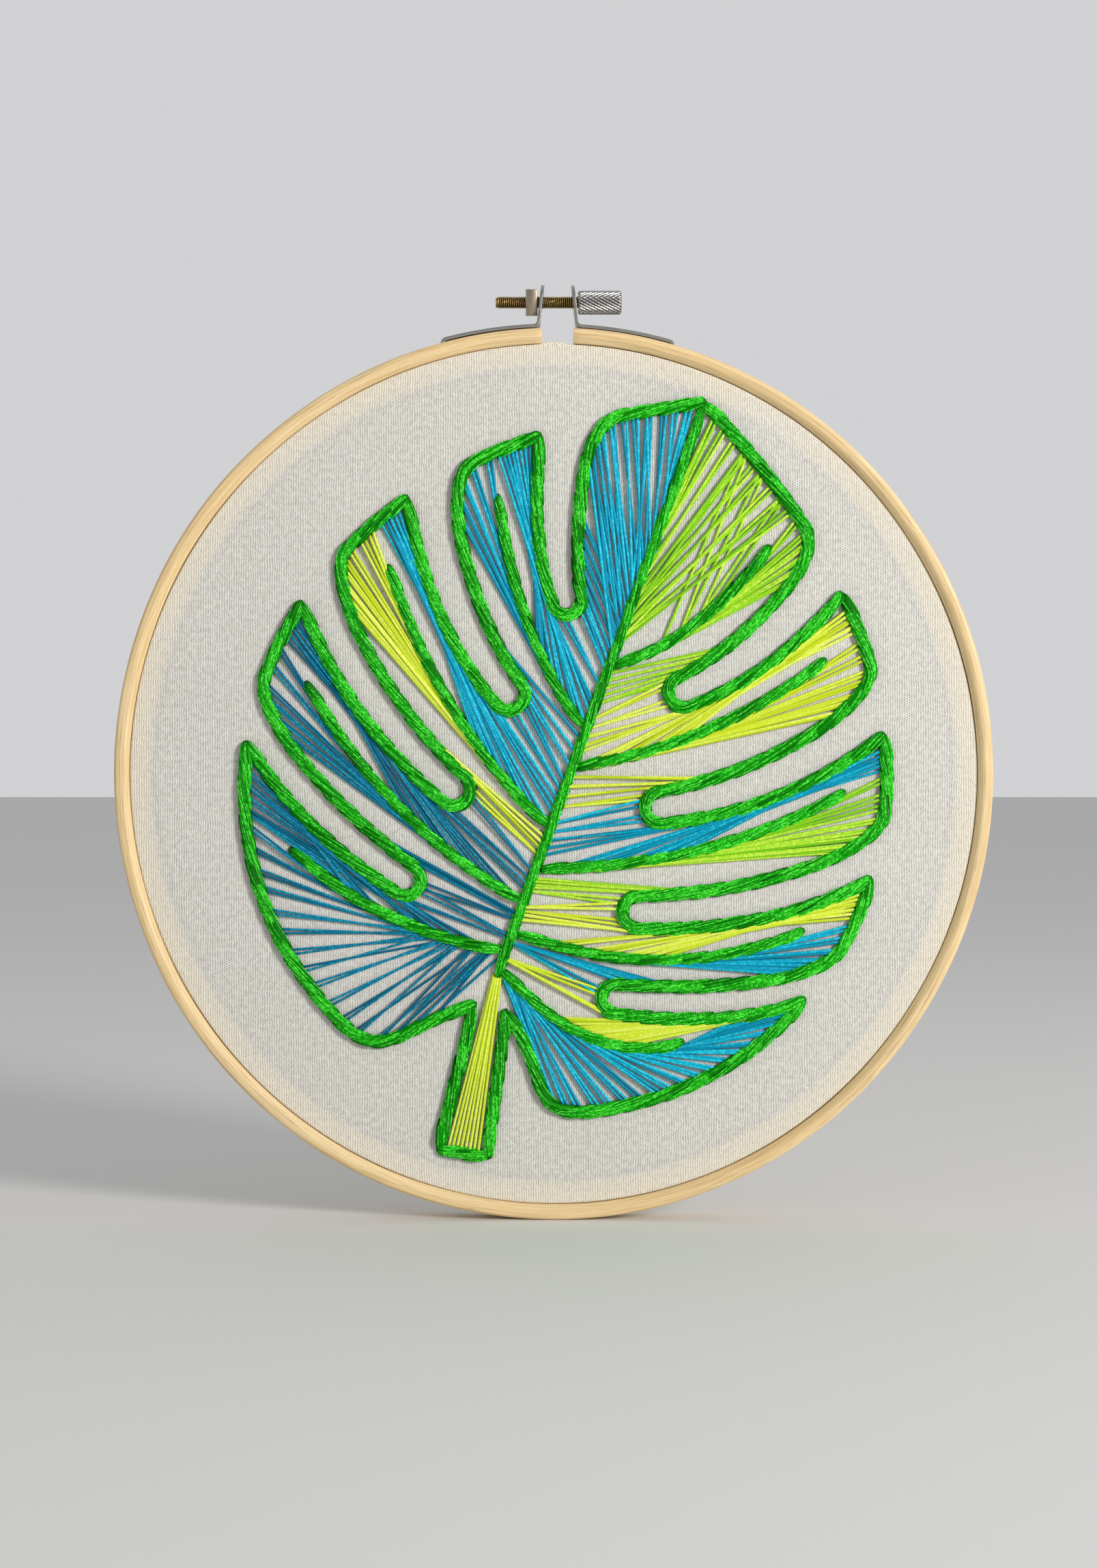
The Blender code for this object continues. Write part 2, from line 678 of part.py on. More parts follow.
def cloth():
    """The cloth over the inner ring: a tight front, and its border trimmed level with the ring's back."""
    inside = CLOTH_OUTSIDE - CLOTH_THICKNESS
    trim = INNER_RING_FRONT + RING_DEPTH - CLEARANCE
    fold = CLOTH_FOLD + FOLD_SOFTENING
    profile = [
        (CLOTH_OUTSIDE - fold, CLOTH_FRONT),
        (CLOTH_OUTSIDE - ROUND_MIDDLE * fold, CLOTH_FRONT + ROUND_MIDDLE * fold),
        (CLOTH_OUTSIDE, CLOTH_FRONT + fold),
        (CLOTH_OUTSIDE, trim),
        (inside, trim),
        (inside, CLOTH_FRONT + CLOTH_THICKNESS + CLOTH_FOLD / 2),
        (inside - CLOTH_FOLD / 2, CLOTH_FRONT + CLOTH_THICKNESS),
    ]
    step = 2 * math.pi / HOOP_SIDES
    loops = [[round_hoop(radius, k * step, y) for k in range(HOOP_SIDES)] for radius, y in profile]
    swept("cloth", loops, "cloth")


def lip_notch(side):
    """The slot in the outer ring that takes a bracket's turned-in end."""
    angle = hoop_angle(side * STRAP_REACH)
    half_along, half_wide = STRAP_THICKNESS / 2 + CLEARANCE, STRAP_WIDTH / 2 + CLEARANCE
    rings = []
    for radius in (HOOP_RADIUS - LIP_DEPTH - CLEARANCE, HOOP_RADIUS + OVERRUN):
        x, _, z = round_hoop(radius, angle, 0)
        along = half_along * np.array([math.cos(angle), -math.sin(angle)])
        rings.append(
            [
                (x + way * along[0], y, z + way * along[1])
                for way, y in ((-1, -half_wide), (1, -half_wide), (1, half_wide), (-1, half_wide))
            ]
        )
    return swept(f"notch_{'left' if side == LEFT else 'right'}", rings, "bamboo")


def bracket_path(side):
    """A bracket seen from the front: the lip in the ring, the foot along it, and the ear leaning inwards."""
    seat = HOOP_RADIUS + CLEARANCE + STRAP_THICKNESS / 2
    far, near = hoop_angle(side * STRAP_REACH), hoop_angle(side * EAR_FOOT)
    flat = [round_hoop(seat, angle, 0) for angle in np.linspace(far, near, 8)]
    foot = np.array([(x, z) for x, _, z in flat])
    lip_x, _, lip_z = round_hoop(HOOP_RADIUS - LIP_DEPTH, far, 0)
    tip = np.array([side * EAR_TIP, SCREW_Z + EAR_OVER_SCREW])
    lip, ear = np.array([(lip_x, lip_z), foot[0]]), np.array([foot[-1], tip])
    return joined([lip, foot, ear], STRAP_BEND, closed=False)


def bracket(side):
    name = "bracket_left" if side == LEFT else "bracket_right"
    path = bracket_path(side)
    half = STRAP_WIDTH / 2
    crown = [half * (1 - math.cos(a)) for a in np.linspace(EAR_CROWN_START, math.pi / 2, EAR_CROWN_STEPS)]
    whole = stations(path)[-1]
    ear_top = point_on(path, np.array([whole - rise for rise in reversed(crown)] + [whole]))
    path = np.vstack([path[:-1], ear_top])
    left_side, right_side = (offset(path, way * STRAP_THICKNESS / 2) for way in (-1, 1))
    along = stations(path)
    rings = []
    for k in range(len(path)):
        into_crown = max(0.0, half - (whole - along[k]) - crown[0])
        wide = math.sqrt(half**2 - into_crown**2)
        (x0, z0), (x1, z1) = left_side[k], right_side[k]
        rings.append([(x0, -wide, z0), (x1, -wide, z1), (x1, wide, z1), (x0, wide, z0)])
    strap = swept(name, rings, "steel")
    hole = [(side * (EAR_FOOT + OVERRUN), HOLE_RADIUS), (side * (EAR_TIP - 2 * OVERRUN), HOLE_RADIUS)]
    cut(strap, rod(f"hole_{name}", hole, "steel"))


def rod(name, profile, colour, sides=ROUND_SIDES):
    """A round piece on the screw's axis, from rows of X and radius."""
    angles = [2 * math.pi * (k + 0.5) / sides for k in range(sides)]
    rings = [[(x, r * math.sin(a), SCREW_Z + r * math.cos(a)) for a in angles] for x, r in profile]
    return swept(name, rings, colour)


def clamp_screw():
    knob_end = KNOB_START + KNOB_LENGTH
    profile = [
        (SCREW_START, SCREW_RADIUS - KNOB_CHAMFER),
        (SCREW_START + KNOB_CHAMFER, SCREW_RADIUS),
        (KNOB_START, SCREW_RADIUS),
        (KNOB_START, KNOB_RADIUS - KNOB_CHAMFER),
        (KNOB_START + KNOB_CHAMFER, KNOB_RADIUS),
        (knob_end - KNOB_CHAMFER, KNOB_RADIUS),
        (knob_end, KNOB_RADIUS - KNOB_CHAMFER),
    ]
    rod("clamp_screw", profile, "brass")


def nut():
    half = NUT_WIDTH / 2
    square = []
    for quarter in range(4):
        turn = NUT_TURN + quarter * math.pi / 2
        for a, b in ((half, half - NUT_CHAMFER), (half - NUT_CHAMFER, half)):
            y, z = a * math.cos(turn) - b * math.sin(turn), a * math.sin(turn) + b * math.cos(turn)
            square.append((y, SCREW_Z + z))
    ends = (NUT_FACE - NUT_THICKNESS, NUT_FACE)
    block = swept("nut", [[(x, y, z) for y, z in square] for x in ends], "steel")
    bore = [(x, HOLE_RADIUS) for x in (ends[0] - OVERRUN, ends[1] + OVERRUN)]
    cut(block, rod("hole_nut", bore, "steel"))


def main():
    clear_scene()
    outer_ring()
    inner_ring()
    cloth()
    for side in (LEFT, RIGHT):
        bracket(side)
    clamp_screw()
    nut()
    leaf()


main()
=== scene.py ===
"""The looks of the string art: woven cloth, stem-stitched cords, strung threads, bamboo hoop and clamp.

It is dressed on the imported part, in metres. The hoop stands upright and faces -Y, and the leaf's lines are
those of the part with more points.
"""

import math
from collections import namedtuple

import bmesh
import bpy
import numpy as np
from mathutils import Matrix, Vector


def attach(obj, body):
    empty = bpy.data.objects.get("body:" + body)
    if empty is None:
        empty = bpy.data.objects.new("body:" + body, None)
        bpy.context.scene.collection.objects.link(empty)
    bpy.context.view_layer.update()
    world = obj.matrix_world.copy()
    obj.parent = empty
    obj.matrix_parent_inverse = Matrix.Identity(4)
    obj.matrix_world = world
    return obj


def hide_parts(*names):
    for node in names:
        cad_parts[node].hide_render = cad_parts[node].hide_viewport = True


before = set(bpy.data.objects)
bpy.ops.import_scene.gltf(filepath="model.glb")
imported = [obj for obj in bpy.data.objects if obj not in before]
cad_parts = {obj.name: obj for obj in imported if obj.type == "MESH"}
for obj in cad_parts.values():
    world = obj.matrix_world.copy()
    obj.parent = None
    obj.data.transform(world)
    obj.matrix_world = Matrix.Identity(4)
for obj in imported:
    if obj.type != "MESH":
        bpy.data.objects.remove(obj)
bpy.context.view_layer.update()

MM = 0.001
CLEARANCE = 0.3 * MM
BODY = "root"
rng = np.random.default_rng(20)

# The hoop, as in the part, with rounded edges and a slight wobble
HOOP_RADIUS = 105.8 * MM
HOOP_TALLER = 1.014
HOOP_STEPS = 360
RING_THICKNESS = 3.6 * MM
RING_DEPTH = 10.0 * MM
RING_EDGE = 0.5 * MM
RING_BEVEL_WIDTH = 1.3 * MM
RING_BEVEL_DEPTH = 1.15 * MM
RING_CROWN = 1.1 * MM
ROUND_STEPS = 5
RING_WOBBLE = 0.05 * MM
GAP_WIDTH = 7.7 * MM
INNER_RING_THICKNESS = 4.0 * MM
SEAM_WIDTH = 0.2 * MM
CLOTH_THICKNESS = 1.0 * MM
CLOTH_RECESS = 1.5 * MM

# The cloth's fold and border, bulge in the ring's gap, dimples at the stitches, waves and weave
CLOTH_SWELL = 0.2 * MM
CLOTH_FOLD = 0.55 * MM
CLOTH_BULGE = 0.75 * MM
CLOTH_MIDDLE = 0.4 * MM
FRONT_ROWS = 92
FOLD_ROWS = 7
BACK_ROWS = 26
DIMPLE_DEPTH = 0.22 * MM
DIMPLE_REACH = 2.2 * MM
WAVE_HEIGHT = 0.05 * MM
WAVES_FADE = 8 * MM
WARP_PITCH = 0.57 * MM
WEFT_PITCH = 0.27 * MM
YARN_WANDER = 0.7 * MM

# The clamp, as in the part but for a nut that is a little wider and turned a little less
SCREW_RADIUS = 1.5 * MM
SCREW_LIFT = 6.8 * MM
SCREW_START = -15.0 * MM
THREAD_PITCH = 0.5 * MM
THREAD_DEPTH = 0.26 * MM
SCREW_SIDES = 28
SCREW_ROWS = 320
KNOB_START = 4.9 * MM
KNOB_LENGTH = 10.5 * MM
KNOB_RADIUS = 2.9 * MM
KNOB_CHAMFER = 0.4 * MM
KNOB_SIDES = 220
KNOB_ROWS = 96
KNURLS = 22
KNURL_SLANT = 0.6
KNURL_DEPTH = 0.3 * MM
KNURL_MEET = math.radians(-75)
NUT_FACE = -4.9 * MM
NUT_THICKNESS = 2.8 * MM
NUT_WIDTH = 6.3 * MM
NUT_TURN = math.radians(10)
NUT_BEVEL = 0.3 * MM
STRAP_THICKNESS = 0.75 * MM
STRAP_WIDTH = 8.0 * MM
STRAP_REACH = 28.0 * MM
STRAP_BEND = 1.3 * MM
LIP_DEPTH = 1.6 * MM
EAR_FOOT = 4.7 * MM
EAR_TIP = 3.6 * MM
EAR_OVER_SCREW = 4.0 * MM
NOTCH_ROOM = 0.15 * MM
EDGE_BEVEL = 0.14 * MM

# Places in the part's frame
SCREW_Z = SCREW_RADIUS
RING_TOP = SCREW_Z - SCREW_LIFT
HOOP_X = -1.0 * MM
HOOP_Z = RING_TOP - HOOP_RADIUS * HOOP_TALLER
RING_FRONT = -RING_DEPTH / 2
CLOTH_FRONT = RING_FRONT + CLOTH_RECESS
CLOTH_BACK = CLOTH_FRONT + CLOTH_THICKNESS
CLOTH_OUTSIDE = HOOP_RADIUS - RING_THICKNESS - CLEARANCE
CLOTH_RIM = CLOTH_OUTSIDE + CLOTH_SWELL
INNER_RING_OUTSIDE = CLOTH_OUTSIDE - CLOTH_THICKNESS - CLEARANCE
INNER_RING_INSIDE = INNER_RING_OUTSIDE - INNER_RING_THICKNESS
INNER_RING_FRONT = CLOTH_BACK + CLEARANCE
CLOTH_TRIM = INNER_RING_FRONT + RING_DEPTH - CLEARANCE
INNER_SEAM = 0.62 * 2 * math.pi * HOOP_RADIUS

# The leaf, as in the part
LEAF_TILT = math.radians(20)
LEAF_BASE = np.array([-13.5, -48.0]) * MM
MIDRIB_LENGTH = 146 * MM
MIDRIB_FOOT = 1.0 * MM
BLADE_FOCUS = 45.5 * MM
BLADE_RADIUS = 76 * MM
BLADE_TIP_FADE = math.radians(28)
BLADE_END = math.radians(150)
STALK_TILT = math.radians(11)
STALK_LENGTH = 44 * MM
STALK_HALF_TOP = 3.9 * MM
STALK_HALF_FOOT = 5.9 * MM
SINUS_DROP = 8.5 * MM
SHOULDER = math.radians(4.3)
LOWEST_LOBE_REACH = 24 * MM
LOWEST_LOBE_OUT = 17 * MM
LOWEST_LOBE_DROP = 12 * MM
RIB_SHORT = 10 * MM
CORNER_RADIUS = 0.5 * MM
CORE_CORNER_RADIUS = 2 * MM
CORNER_LOOK = 4 * MM
CORNER_ROOM = 1.15
ARC_STEP = 0.2
CURVE_POINTS = 33
EDGE_POINTS = 13
LEAST_STEP = 0.2 * MM
SEARCH_POINTS = 3000
SLIT_BOW = 0.34
SLIT_REACH = 0.60

LEFT, RIGHT = -1, 1
WORDS = {LEFT: "left", RIGHT: "right"}

Slit = namedtuple("Slit", "mouth_deg up_deg down_deg end_along_mm end_out_mm end_radius_mm")
SLITS = {
    LEFT: (
        Slit(20, 4.6, 3.4, 90.0, 15.0, 3.6),
        Slit(44, 5.0, 3.4, 64.0, 20.5, 4.0),
        Slit(70, 4.8, 3.4, 38.0, 25.0, 4.0),
        Slit(97, 4.6, 3.4, 13.5, 28.5, 3.8),
    ),
    RIGHT: (
        Slit(31, 4.8, 3.4, 79.0, 19.0, 3.8),
        Slit(56, 4.8, 3.4, 51.0, 23.5, 4.0),
        Slit(82, 4.6, 3.2, 25.5, 27.0, 4.0),
        Slit(107, 4.2, 3.2, 4.0, 29.0, 3.6),
    ),
}
Rib = namedtuple("Rib", "lobe start_mm bend_along_mm bend_out_mm end_deg")
RIBS = {
    LEFT: (
        Rib(1, 62.0, 77.0, 23.5, 32),
        Rib(2, 37.0, 52.0, 34.5, 57),
        Rib(3, 18.0, 25.0, 39.0, 86),
        Rib(4, 5.5, 0.0, 33.0, 121),
    ),
    RIGHT: (
        Rib(0, 79.0, 89.0, 17.0, 20),
        Rib(1, 53.0, 67.0, 28.0, 43),
        Rib(2, 27.0, 40.0, 38.0, 69.5),
        Rib(3, 11.0, 9.5, 37.0, 99.5),
        Rib(4, 2.0, -14.5, 27.0, 134),
    ),
}
Fan = namedtuple("Fan", "side rib half colour look pitch_mm")
FANS = (
    Fan(LEFT, None, "whole", "blue", "blue", 3.1),
    Fan(LEFT, 0, "tip", "blue", "blue", 3.6),
    Fan(LEFT, 0, "stalk", "blue", "blue", 5.2),
    Fan(LEFT, 1, "tip", "blue", "blue", 2.8),
    Fan(LEFT, 1, "stalk", "lime", "lime", 3.4),
    Fan(LEFT, 2, "tip", "blue", "deep blue", 3.6),
    Fan(LEFT, 2, "stalk", "blue", "deep blue", 4.4),
    Fan(LEFT, 3, "tip", "blue", "deep blue", 3.4),
    Fan(LEFT, 3, "stalk", "blue", "deep blue", 5.2),
    Fan(RIGHT, 0, "tip", "lime", "leaf lime", 3.6),
    Fan(RIGHT, 0, "stalk", "lime", "leaf lime", 3.3),
    Fan(RIGHT, 1, "tip", "lime", "lime", 2.8),
    Fan(RIGHT, 1, "stalk", "lime", "lime", 3.8),
    Fan(RIGHT, 2, "tip", "blue", "blue", 3.0),
    Fan(RIGHT, 2, "stalk", "lime", "leaf lime", 3.3),
    Fan(RIGHT, 3, "tip", "lime", "lime", 3.3),
    Fan(RIGHT, 3, "stalk", "blue", "blue", 3.4),
    Fan(RIGHT, 4, "tip", "lime", "lime", 3.3),
    Fan(RIGHT, 4, "stalk", "blue", "blue", 3.8),
)
TIP_ROOT = 135 * MM
TIP_LOBE_SPLIT = 78 * MM

# The stitched cords: each stitch is a slanting bundle of floss strands that overlaps its neighbours
OUTLINE_WIDTH = 3.6 * MM
RIB_WIDTH = 3.2 * MM
MIDRIB_WIDTH = 3.0 * MM
CORD_HEIGHT = 1.8 * MM
STITCH_PITCH = 5.0 * MM
STITCH_LENGTH = 9.2 * MM
STITCH_SLANT = 0.42
BUNDLE_SHARE = 0.78
STRANDS = 10
STRAND_STEPS = 9
STRAND_SIDES = 5
STRAND_RADIUS = 0.19 * MM
STRAND_JITTER = 0.04 * MM
END_JITTER = 0.25 * MM
CORD_OVERLAP = 0.5 * MM
CORE_PITCH = 1.2 * MM
CORE_SECTION = ((-0.24, 0.0), (-0.21, 0.32), (0, 0.5), (0.21, 0.32), (0.24, 0.0))

# The cloth's back: short stitches, the threads' steps from hole to hole, knots and the frayed border
BACK_SHARE = np.array([0, 0.14, 0.5, 0.86, 1])
BACK_RISE = np.array([-0.3, 0.75, 1, 0.75, -0.3])
BACK_STRANDS = 4
BACK_HEIGHT = 0.6 * MM
BACK_STRAND_RADIUS = 0.2 * MM
KNOT_POINTS = 34
KNOT_SIZE = 0.55 * MM
KNOT_TAIL = 9 * MM
FRAYS = 420
FRAY_RADIUS = 0.07 * MM
FRAY_ROOT = 0.4 * MM

# The strung threads: they run in pairs from the blade's edge to a rib or the midrib
THREAD_RADIUS = 0.38 * MM
SLIM_THREAD_RADIUS = 0.31 * MM
THREAD_SIDES = 6
THREAD_BENDS = np.array([0, 0.4, 1.1, 2.2]) * MM
THREAD_RISE = np.array([0, 0.6, 0.9, 1])
THREAD_SUNK = 0.15 * MM
THREAD_LOW = 0.36 * MM
THREAD_HIGH = 0.85 * MM
SHORTEST_THREAD = 6 * MM
PAIR_WIDTH = 1.2 * MM
TURN_REACH = 14 * MM
EDGE_GAP = 1.8 * MM
CORNER_GAP = 4.2 * MM
SHOULDER_REACH = 16 * MM
UNDER_EDGE = OUTLINE_WIDTH / 2 - 0.8 * MM
UNDER_RIB = RIB_WIDTH / 2 - 0.6 * MM
UNDER_MIDRIB = MIDRIB_WIDTH / 2 - 0.3 * MM
LOBE_FOOT_GAP = 9 * MM
BARRIER = 0.35 * MM
ROOTS = 90
FIRST_ROOT = 0.8 * MM
LAST_ROOT = 1.5 * MM
STALK_THREADS = 8
STALK_BUNDLE = 0.9 * MM


# Plane curves, as arrays of points with two coordinates


def unit(vector):
    return vector / np.linalg.norm(vector)


def units(vectors):
    """The directions of many vectors, which lie along the last axis."""
    return vectors / np.linalg.norm(vectors, axis=-1, keepdims=True)


def left_of(ways):
    """The ways a quarter turn to the left of ways in the plane."""
    return np.stack([-ways[..., 1], ways[..., 0]], axis=-1)


def looped(path):
    """The path with its first point again at its end."""
    return np.vstack([path, path[:1]])


def round_turn(count):
    """Equal steps once round a circle."""
    return np.arange(count) * 2 * math.pi / count


def stations(path):
    """How far along the path each of its points lies."""
    return np.concatenate([[0], np.cumsum(np.linalg.norm(np.diff(path, axis=0), axis=1))])


def point_on(path, distance):
    along = stations(path)
    return np.stack([np.interp(distance, along, path[:, k]) for k in range(path.shape[1])], axis=-1)


def nearest_station(path, point):
    """How far along the path its nearest place to a point lies."""
    tries = np.linspace(0, stations(path)[-1], SEARCH_POINTS)
    return tries[np.linalg.norm(point_on(path, tries) - point, axis=1).argmin()]


def part_of(path, start, end):
    """The stretch of a path between two stations, the other way round where the first is the greater."""
    low, high = sorted((start, end))
    along = stations(path)
    inside = path[(along > low + LEAST_STEP) & (along < high - LEAST_STEP)]
    stretch = np.vstack([point_on(path, low), inside, point_on(path, high)])
    return stretch if start < end else stretch[::-1]


def bezier(controls, count):
    t = np.linspace(0, 1, count)[:, None]
    while len(controls) > 1:
        controls = [(1 - t) * a + t * b for a, b in zip(controls, controls[1:])]
    return controls[0]


def offset(path, distance, closed=False):
    """The path moved sideways, to its left for a distance over 0, with mitred corners."""
    loop = np.vstack([path[-1:], path, path[:1]]) if closed else path
    sideways = left_of(units(np.diff(loop, axis=0)))
    if not closed:
        sideways = np.vstack([sideways[:1], sideways, sideways[-1:]])
    joints = sideways[:-1] + sideways[1:]
    return path + 2 * distance * joints / (joints * joints).sum(axis=1)[:, None]


def normals(path, distance, reach=0.3 * MM):
    """The direction to the path's left, at stations on it."""
    return left_of(units(point_on(path, distance + reach) - point_on(path, distance - reach)))


def arc(corner, back, ahead, radius):
    """An arc that rounds a corner between the ways back and ahead, and how far from the corner it ends."""
    half = math.acos(np.clip(back @ ahead, -1, 1)) / 2
    centre = corner + unit(back + ahead) * radius / math.sin(half)
    first = corner + back * radius / math.tan(half) - centre
    turn = math.copysign(math.pi - 2 * half, back[1] * ahead[0] - back[0] * ahead[1])
    angles = np.linspace(0, turn, max(3, round(abs(turn) / ARC_STEP)))
    left = left_of(first)
    return [centre + math.cos(a) * first + math.sin(a) * left for a in angles], radius / math.tan(half)


def joined(runs, radius, closed):
    """Runs that meet at corners, as one path with the corners rounded."""
    arcs = []
    for before, after in zip(runs, runs[1:] + runs[:1]):
        corner = after[0]
        back = unit(point_on(before[::-1], CORNER_LOOK) - corner)
        ahead = unit(point_on(after, CORNER_LOOK) - corner)
        arcs.append((corner, *arc(corner, back, ahead, radius)) if closed or after is not runs[0] else None)
    path = []
    for k, run in enumerate(runs):
        for end in (arcs[k - 1], arcs[k]):
            if end:
                run = run[np.linalg.norm(run - end[0], axis=1) > CORNER_ROOM * end[2]]
        path += [*run, *(arcs[k][1] if arcs[k] else [])]
    return np.array(path)


def distances(points, path):
    """Each point's distance from a path."""
    starts, steps = path[:-1], np.diff(path, axis=0)
    away = points[:, None] - starts
    share = np.clip((away * steps).sum(axis=2) / (steps * steps).sum(axis=1), 0, 1)
    return np.linalg.norm(away - share[..., None] * steps, axis=2).min(axis=1)


# The leaf's lines


def leaning(tilt):
    """The directions along and across a line that leans to the right."""
    return np.array([math.sin(tilt), math.cos(tilt)]), np.array([math.cos(tilt), -math.sin(tilt)])


def at(along, out, side=RIGHT):
    up, across = leaning(LEAF_TILT)
    return LEAF_BASE + along * up + side * out * across


def margin(angle, side):
    """The blade's edge without its slits, at an angle from the tip about the focus."""
    rise = MIDRIB_LENGTH - BLADE_FOCUS - BLADE_RADIUS
    radius = BLADE_RADIUS + rise * math.exp(-angle / BLADE_TIP_FADE)
    return at(BLADE_FOCUS + radius * math.cos(angle), radius * math.sin(angle), side)


def slit_edges(slit, side):
    """The slit's upper edge inwards, the turn round its end, and its lower edge outwards."""
    up, across = leaning(LEAF_TILT)
    radius = slit.end_radius_mm * MM
    mouth = margin(math.radians(slit.mouth_deg), side)
    lip = margin(math.radians(slit.mouth_deg - slit.up_deg), side)
    apex = margin(math.radians(slit.mouth_deg + slit.down_deg), side)
    inner = at(slit.end_along_mm * MM, slit.end_out_mm * MM, side)
    bow, reach = SLIT_BOW * (mouth - inner) @ up, SLIT_REACH * (mouth - inner) @ across
    bend = inner + bow * up + reach * across
    outwards = unit(bend - inner)
    chord = unit(mouth - bend) + outwards
    tipwards = side * left_of(outwards)
    bend_tipwards = side * unit(left_of(chord))
    wide = (radius + np.linalg.norm(lip - apex) / 2) / 2
    upper = bezier([lip, bend + wide * bend_tipwards, inner + radius * tipwards], CURVE_POINTS)
    lower = bezier([inner - radius * tipwards, bend - wide * bend_tipwards, apex], CURVE_POINTS)
    turn = [
        inner + radius * (math.cos(a) * tipwards - math.sin(a) * outwards)
        for a in np.linspace(0, math.pi, EDGE_POINTS + 2)[1:-1]
    ]
    return upper, turn, lower


def blade_runs(side):
    """Half the blade's outline from the tip to the stalk, in runs that meet at the lobes' points."""
    up, across = leaning(LEAF_TILT)
    runs = []
    start = 0.0
    for slit in SLITS[side]:
        upper, turn, lower = slit_edges(slit, side)
        end = math.radians(slit.mouth_deg - slit.up_deg) - SHOULDER
        edge = [margin(a, side) for a in np.linspace(start, end, EDGE_POINTS)]
        settled = CURVE_POINTS // 4
        round_shoulder = bezier([edge[-1], upper[0], upper[settled]], EDGE_POINTS)[1:-1]
        runs.append(np.array([*edge, *round_shoulder, *upper[settled:], *turn, *lower]))
        start = math.radians(slit.mouth_deg + slit.down_deg)
    edge = [margin(a, side) for a in np.linspace(start, BLADE_END, EDGE_POINTS)]
    corner, _ = stalk_side(side)
    ahead = edge[-1] + LOWEST_LOBE_REACH * unit(edge[-1] - edge[-2])
    beside = corner + LOWEST_LOBE_OUT * side * across - LOWEST_LOBE_DROP * up
    lobe = bezier([edge[-1], ahead, beside, corner], CURVE_POINTS)
    runs.append(np.array([*edge, *lobe[1:]]))
    return runs


def stalk_side(side):
    down, right = -leaning(STALK_TILT)[0], leaning(STALK_TILT)[1]
    top = LEAF_BASE + SINUS_DROP * down + side * STALK_HALF_TOP * right
    foot = LEAF_BASE + STALK_LENGTH * down + side * STALK_HALF_FOOT * right
    return np.array([top, foot])


def outline_runs():
    """The outline's runs between its corners, clockwise: the right half with the foot, and the left half."""
    right, left = (blade_runs(side) + [stalk_side(side)] for side in (RIGHT, LEFT))
    foot = np.array([right[-1][-1], left[-1][-1]])
    return right + [foot], [run[::-1] for run in reversed(left)]


def outline_path(radius):
    """The whole outline, clockwise from the tip, with arcs of a radius at its corners."""
    right, left = outline_runs()
    return joined(right + left, radius, closed=True)


def rib_path(rib, side):
    """A side rib's middle line, from the midrib's out to its free end."""
    focus = at(BLADE_FOCUS, 0)
    edge = margin(math.radians(rib.end_deg), side)
    end = edge - RIB_SHORT * unit(edge - focus)
    bend = at(rib.bend_along_mm * MM, rib.bend_out_mm * MM, side)
    return bezier([at(rib.start_mm * MM, 0), bend, end], CURVE_POINTS)


# Meshes


def placed(name, data):
    """A new object in the scene."""
    piece = bpy.data.objects.new(name, data)
    bpy.context.scene.collection.objects.link(piece)
    return piece


def toned(mesh, tones):
    """The mesh's points take their tones, which its look reads."""
    tone = mesh.attributes.new("tone", "FLOAT", "POINT")
    tone.data.foreach_set("value", np.broadcast_to(tones, len(mesh.vertices)).astype(np.float32))


def made(name, points, loops, starts, uvs, tones=None, sharp=None):
    """An object from its points, each face's points in turn, where each face starts, and UVs in metres."""
    mesh = bpy.data.meshes.new(name)
    mesh.vertices.add(len(points))
    mesh.vertices.foreach_set("co", np.asarray(points, np.float32).ravel())
    mesh.loops.add(len(loops))
    mesh.loops.foreach_set("vertex_index", np.asarray(loops, np.int32))
    mesh.polygons.add(len(starts))
    mesh.polygons.foreach_set("loop_start", np.asarray(starts, np.int32))
    layer = mesh.uv_layers.new(name="metres")
    layer.data.foreach_set("uv", np.asarray(uvs, np.float32).ravel())
    if tones is not None:
        toned(mesh, tones)
    mesh.update(calc_edges=True)
    mesh.validate()
    mesh.shade_smooth()
    if sharp:
        mesh.set_sharp_from_angle(angle=math.radians(sharp))
    return placed(name, mesh)


def grid(name, points, u, v, wrap_u=False, wrap_v=False, capped=False, tones=None, sharp=None):
    """A surface over rows and columns of points. A wrapped way closes on itself, and caps close the ends."""
    rows, columns = points.shape[:2]
    i = np.arange(rows if wrap_u else rows - 1)
    j = np.arange(columns if wrap_v else columns - 1)
    i, j = (a.ravel() for a in np.meshgrid(i, j, indexing="ij"))
    corners = [(i, j), (i + 1, j), (i + 1, j + 1), (i, j + 1)]
    loops = np.stack([a % rows * columns + b % columns for a, b in corners], axis=1).ravel()
    uvs = np.stack([np.stack([u[a], v[b]], axis=1) for a, b in corners], axis=1).reshape(-1, 2)
    starts = list(np.arange(len(i)) * 4)
    if capped:
        for row in (np.arange(columns)[::-1], (rows - 1) * columns + np.arange(columns)):
            starts.append(len(loops))
            loops = np.concatenate([loops, row])
            end = points.reshape(-1, 3)[row]
            uvs = np.vstack([uvs, np.stack([end[:, 0], end[:, 2]], axis=1)])
    tones = None if tones is None else tones.ravel()
    return made(name, points.reshape(-1, 3), loops, starts, uvs, tones, sharp)


def faces_out(piece):
    """The piece with all its faces turned outwards."""
    shape = bmesh.new()
    shape.from_mesh(piece.data)
    bmesh.ops.recalc_face_normals(shape, faces=shape.faces)
    shape.to_mesh(piece.data)
    shape.free()
    return piece


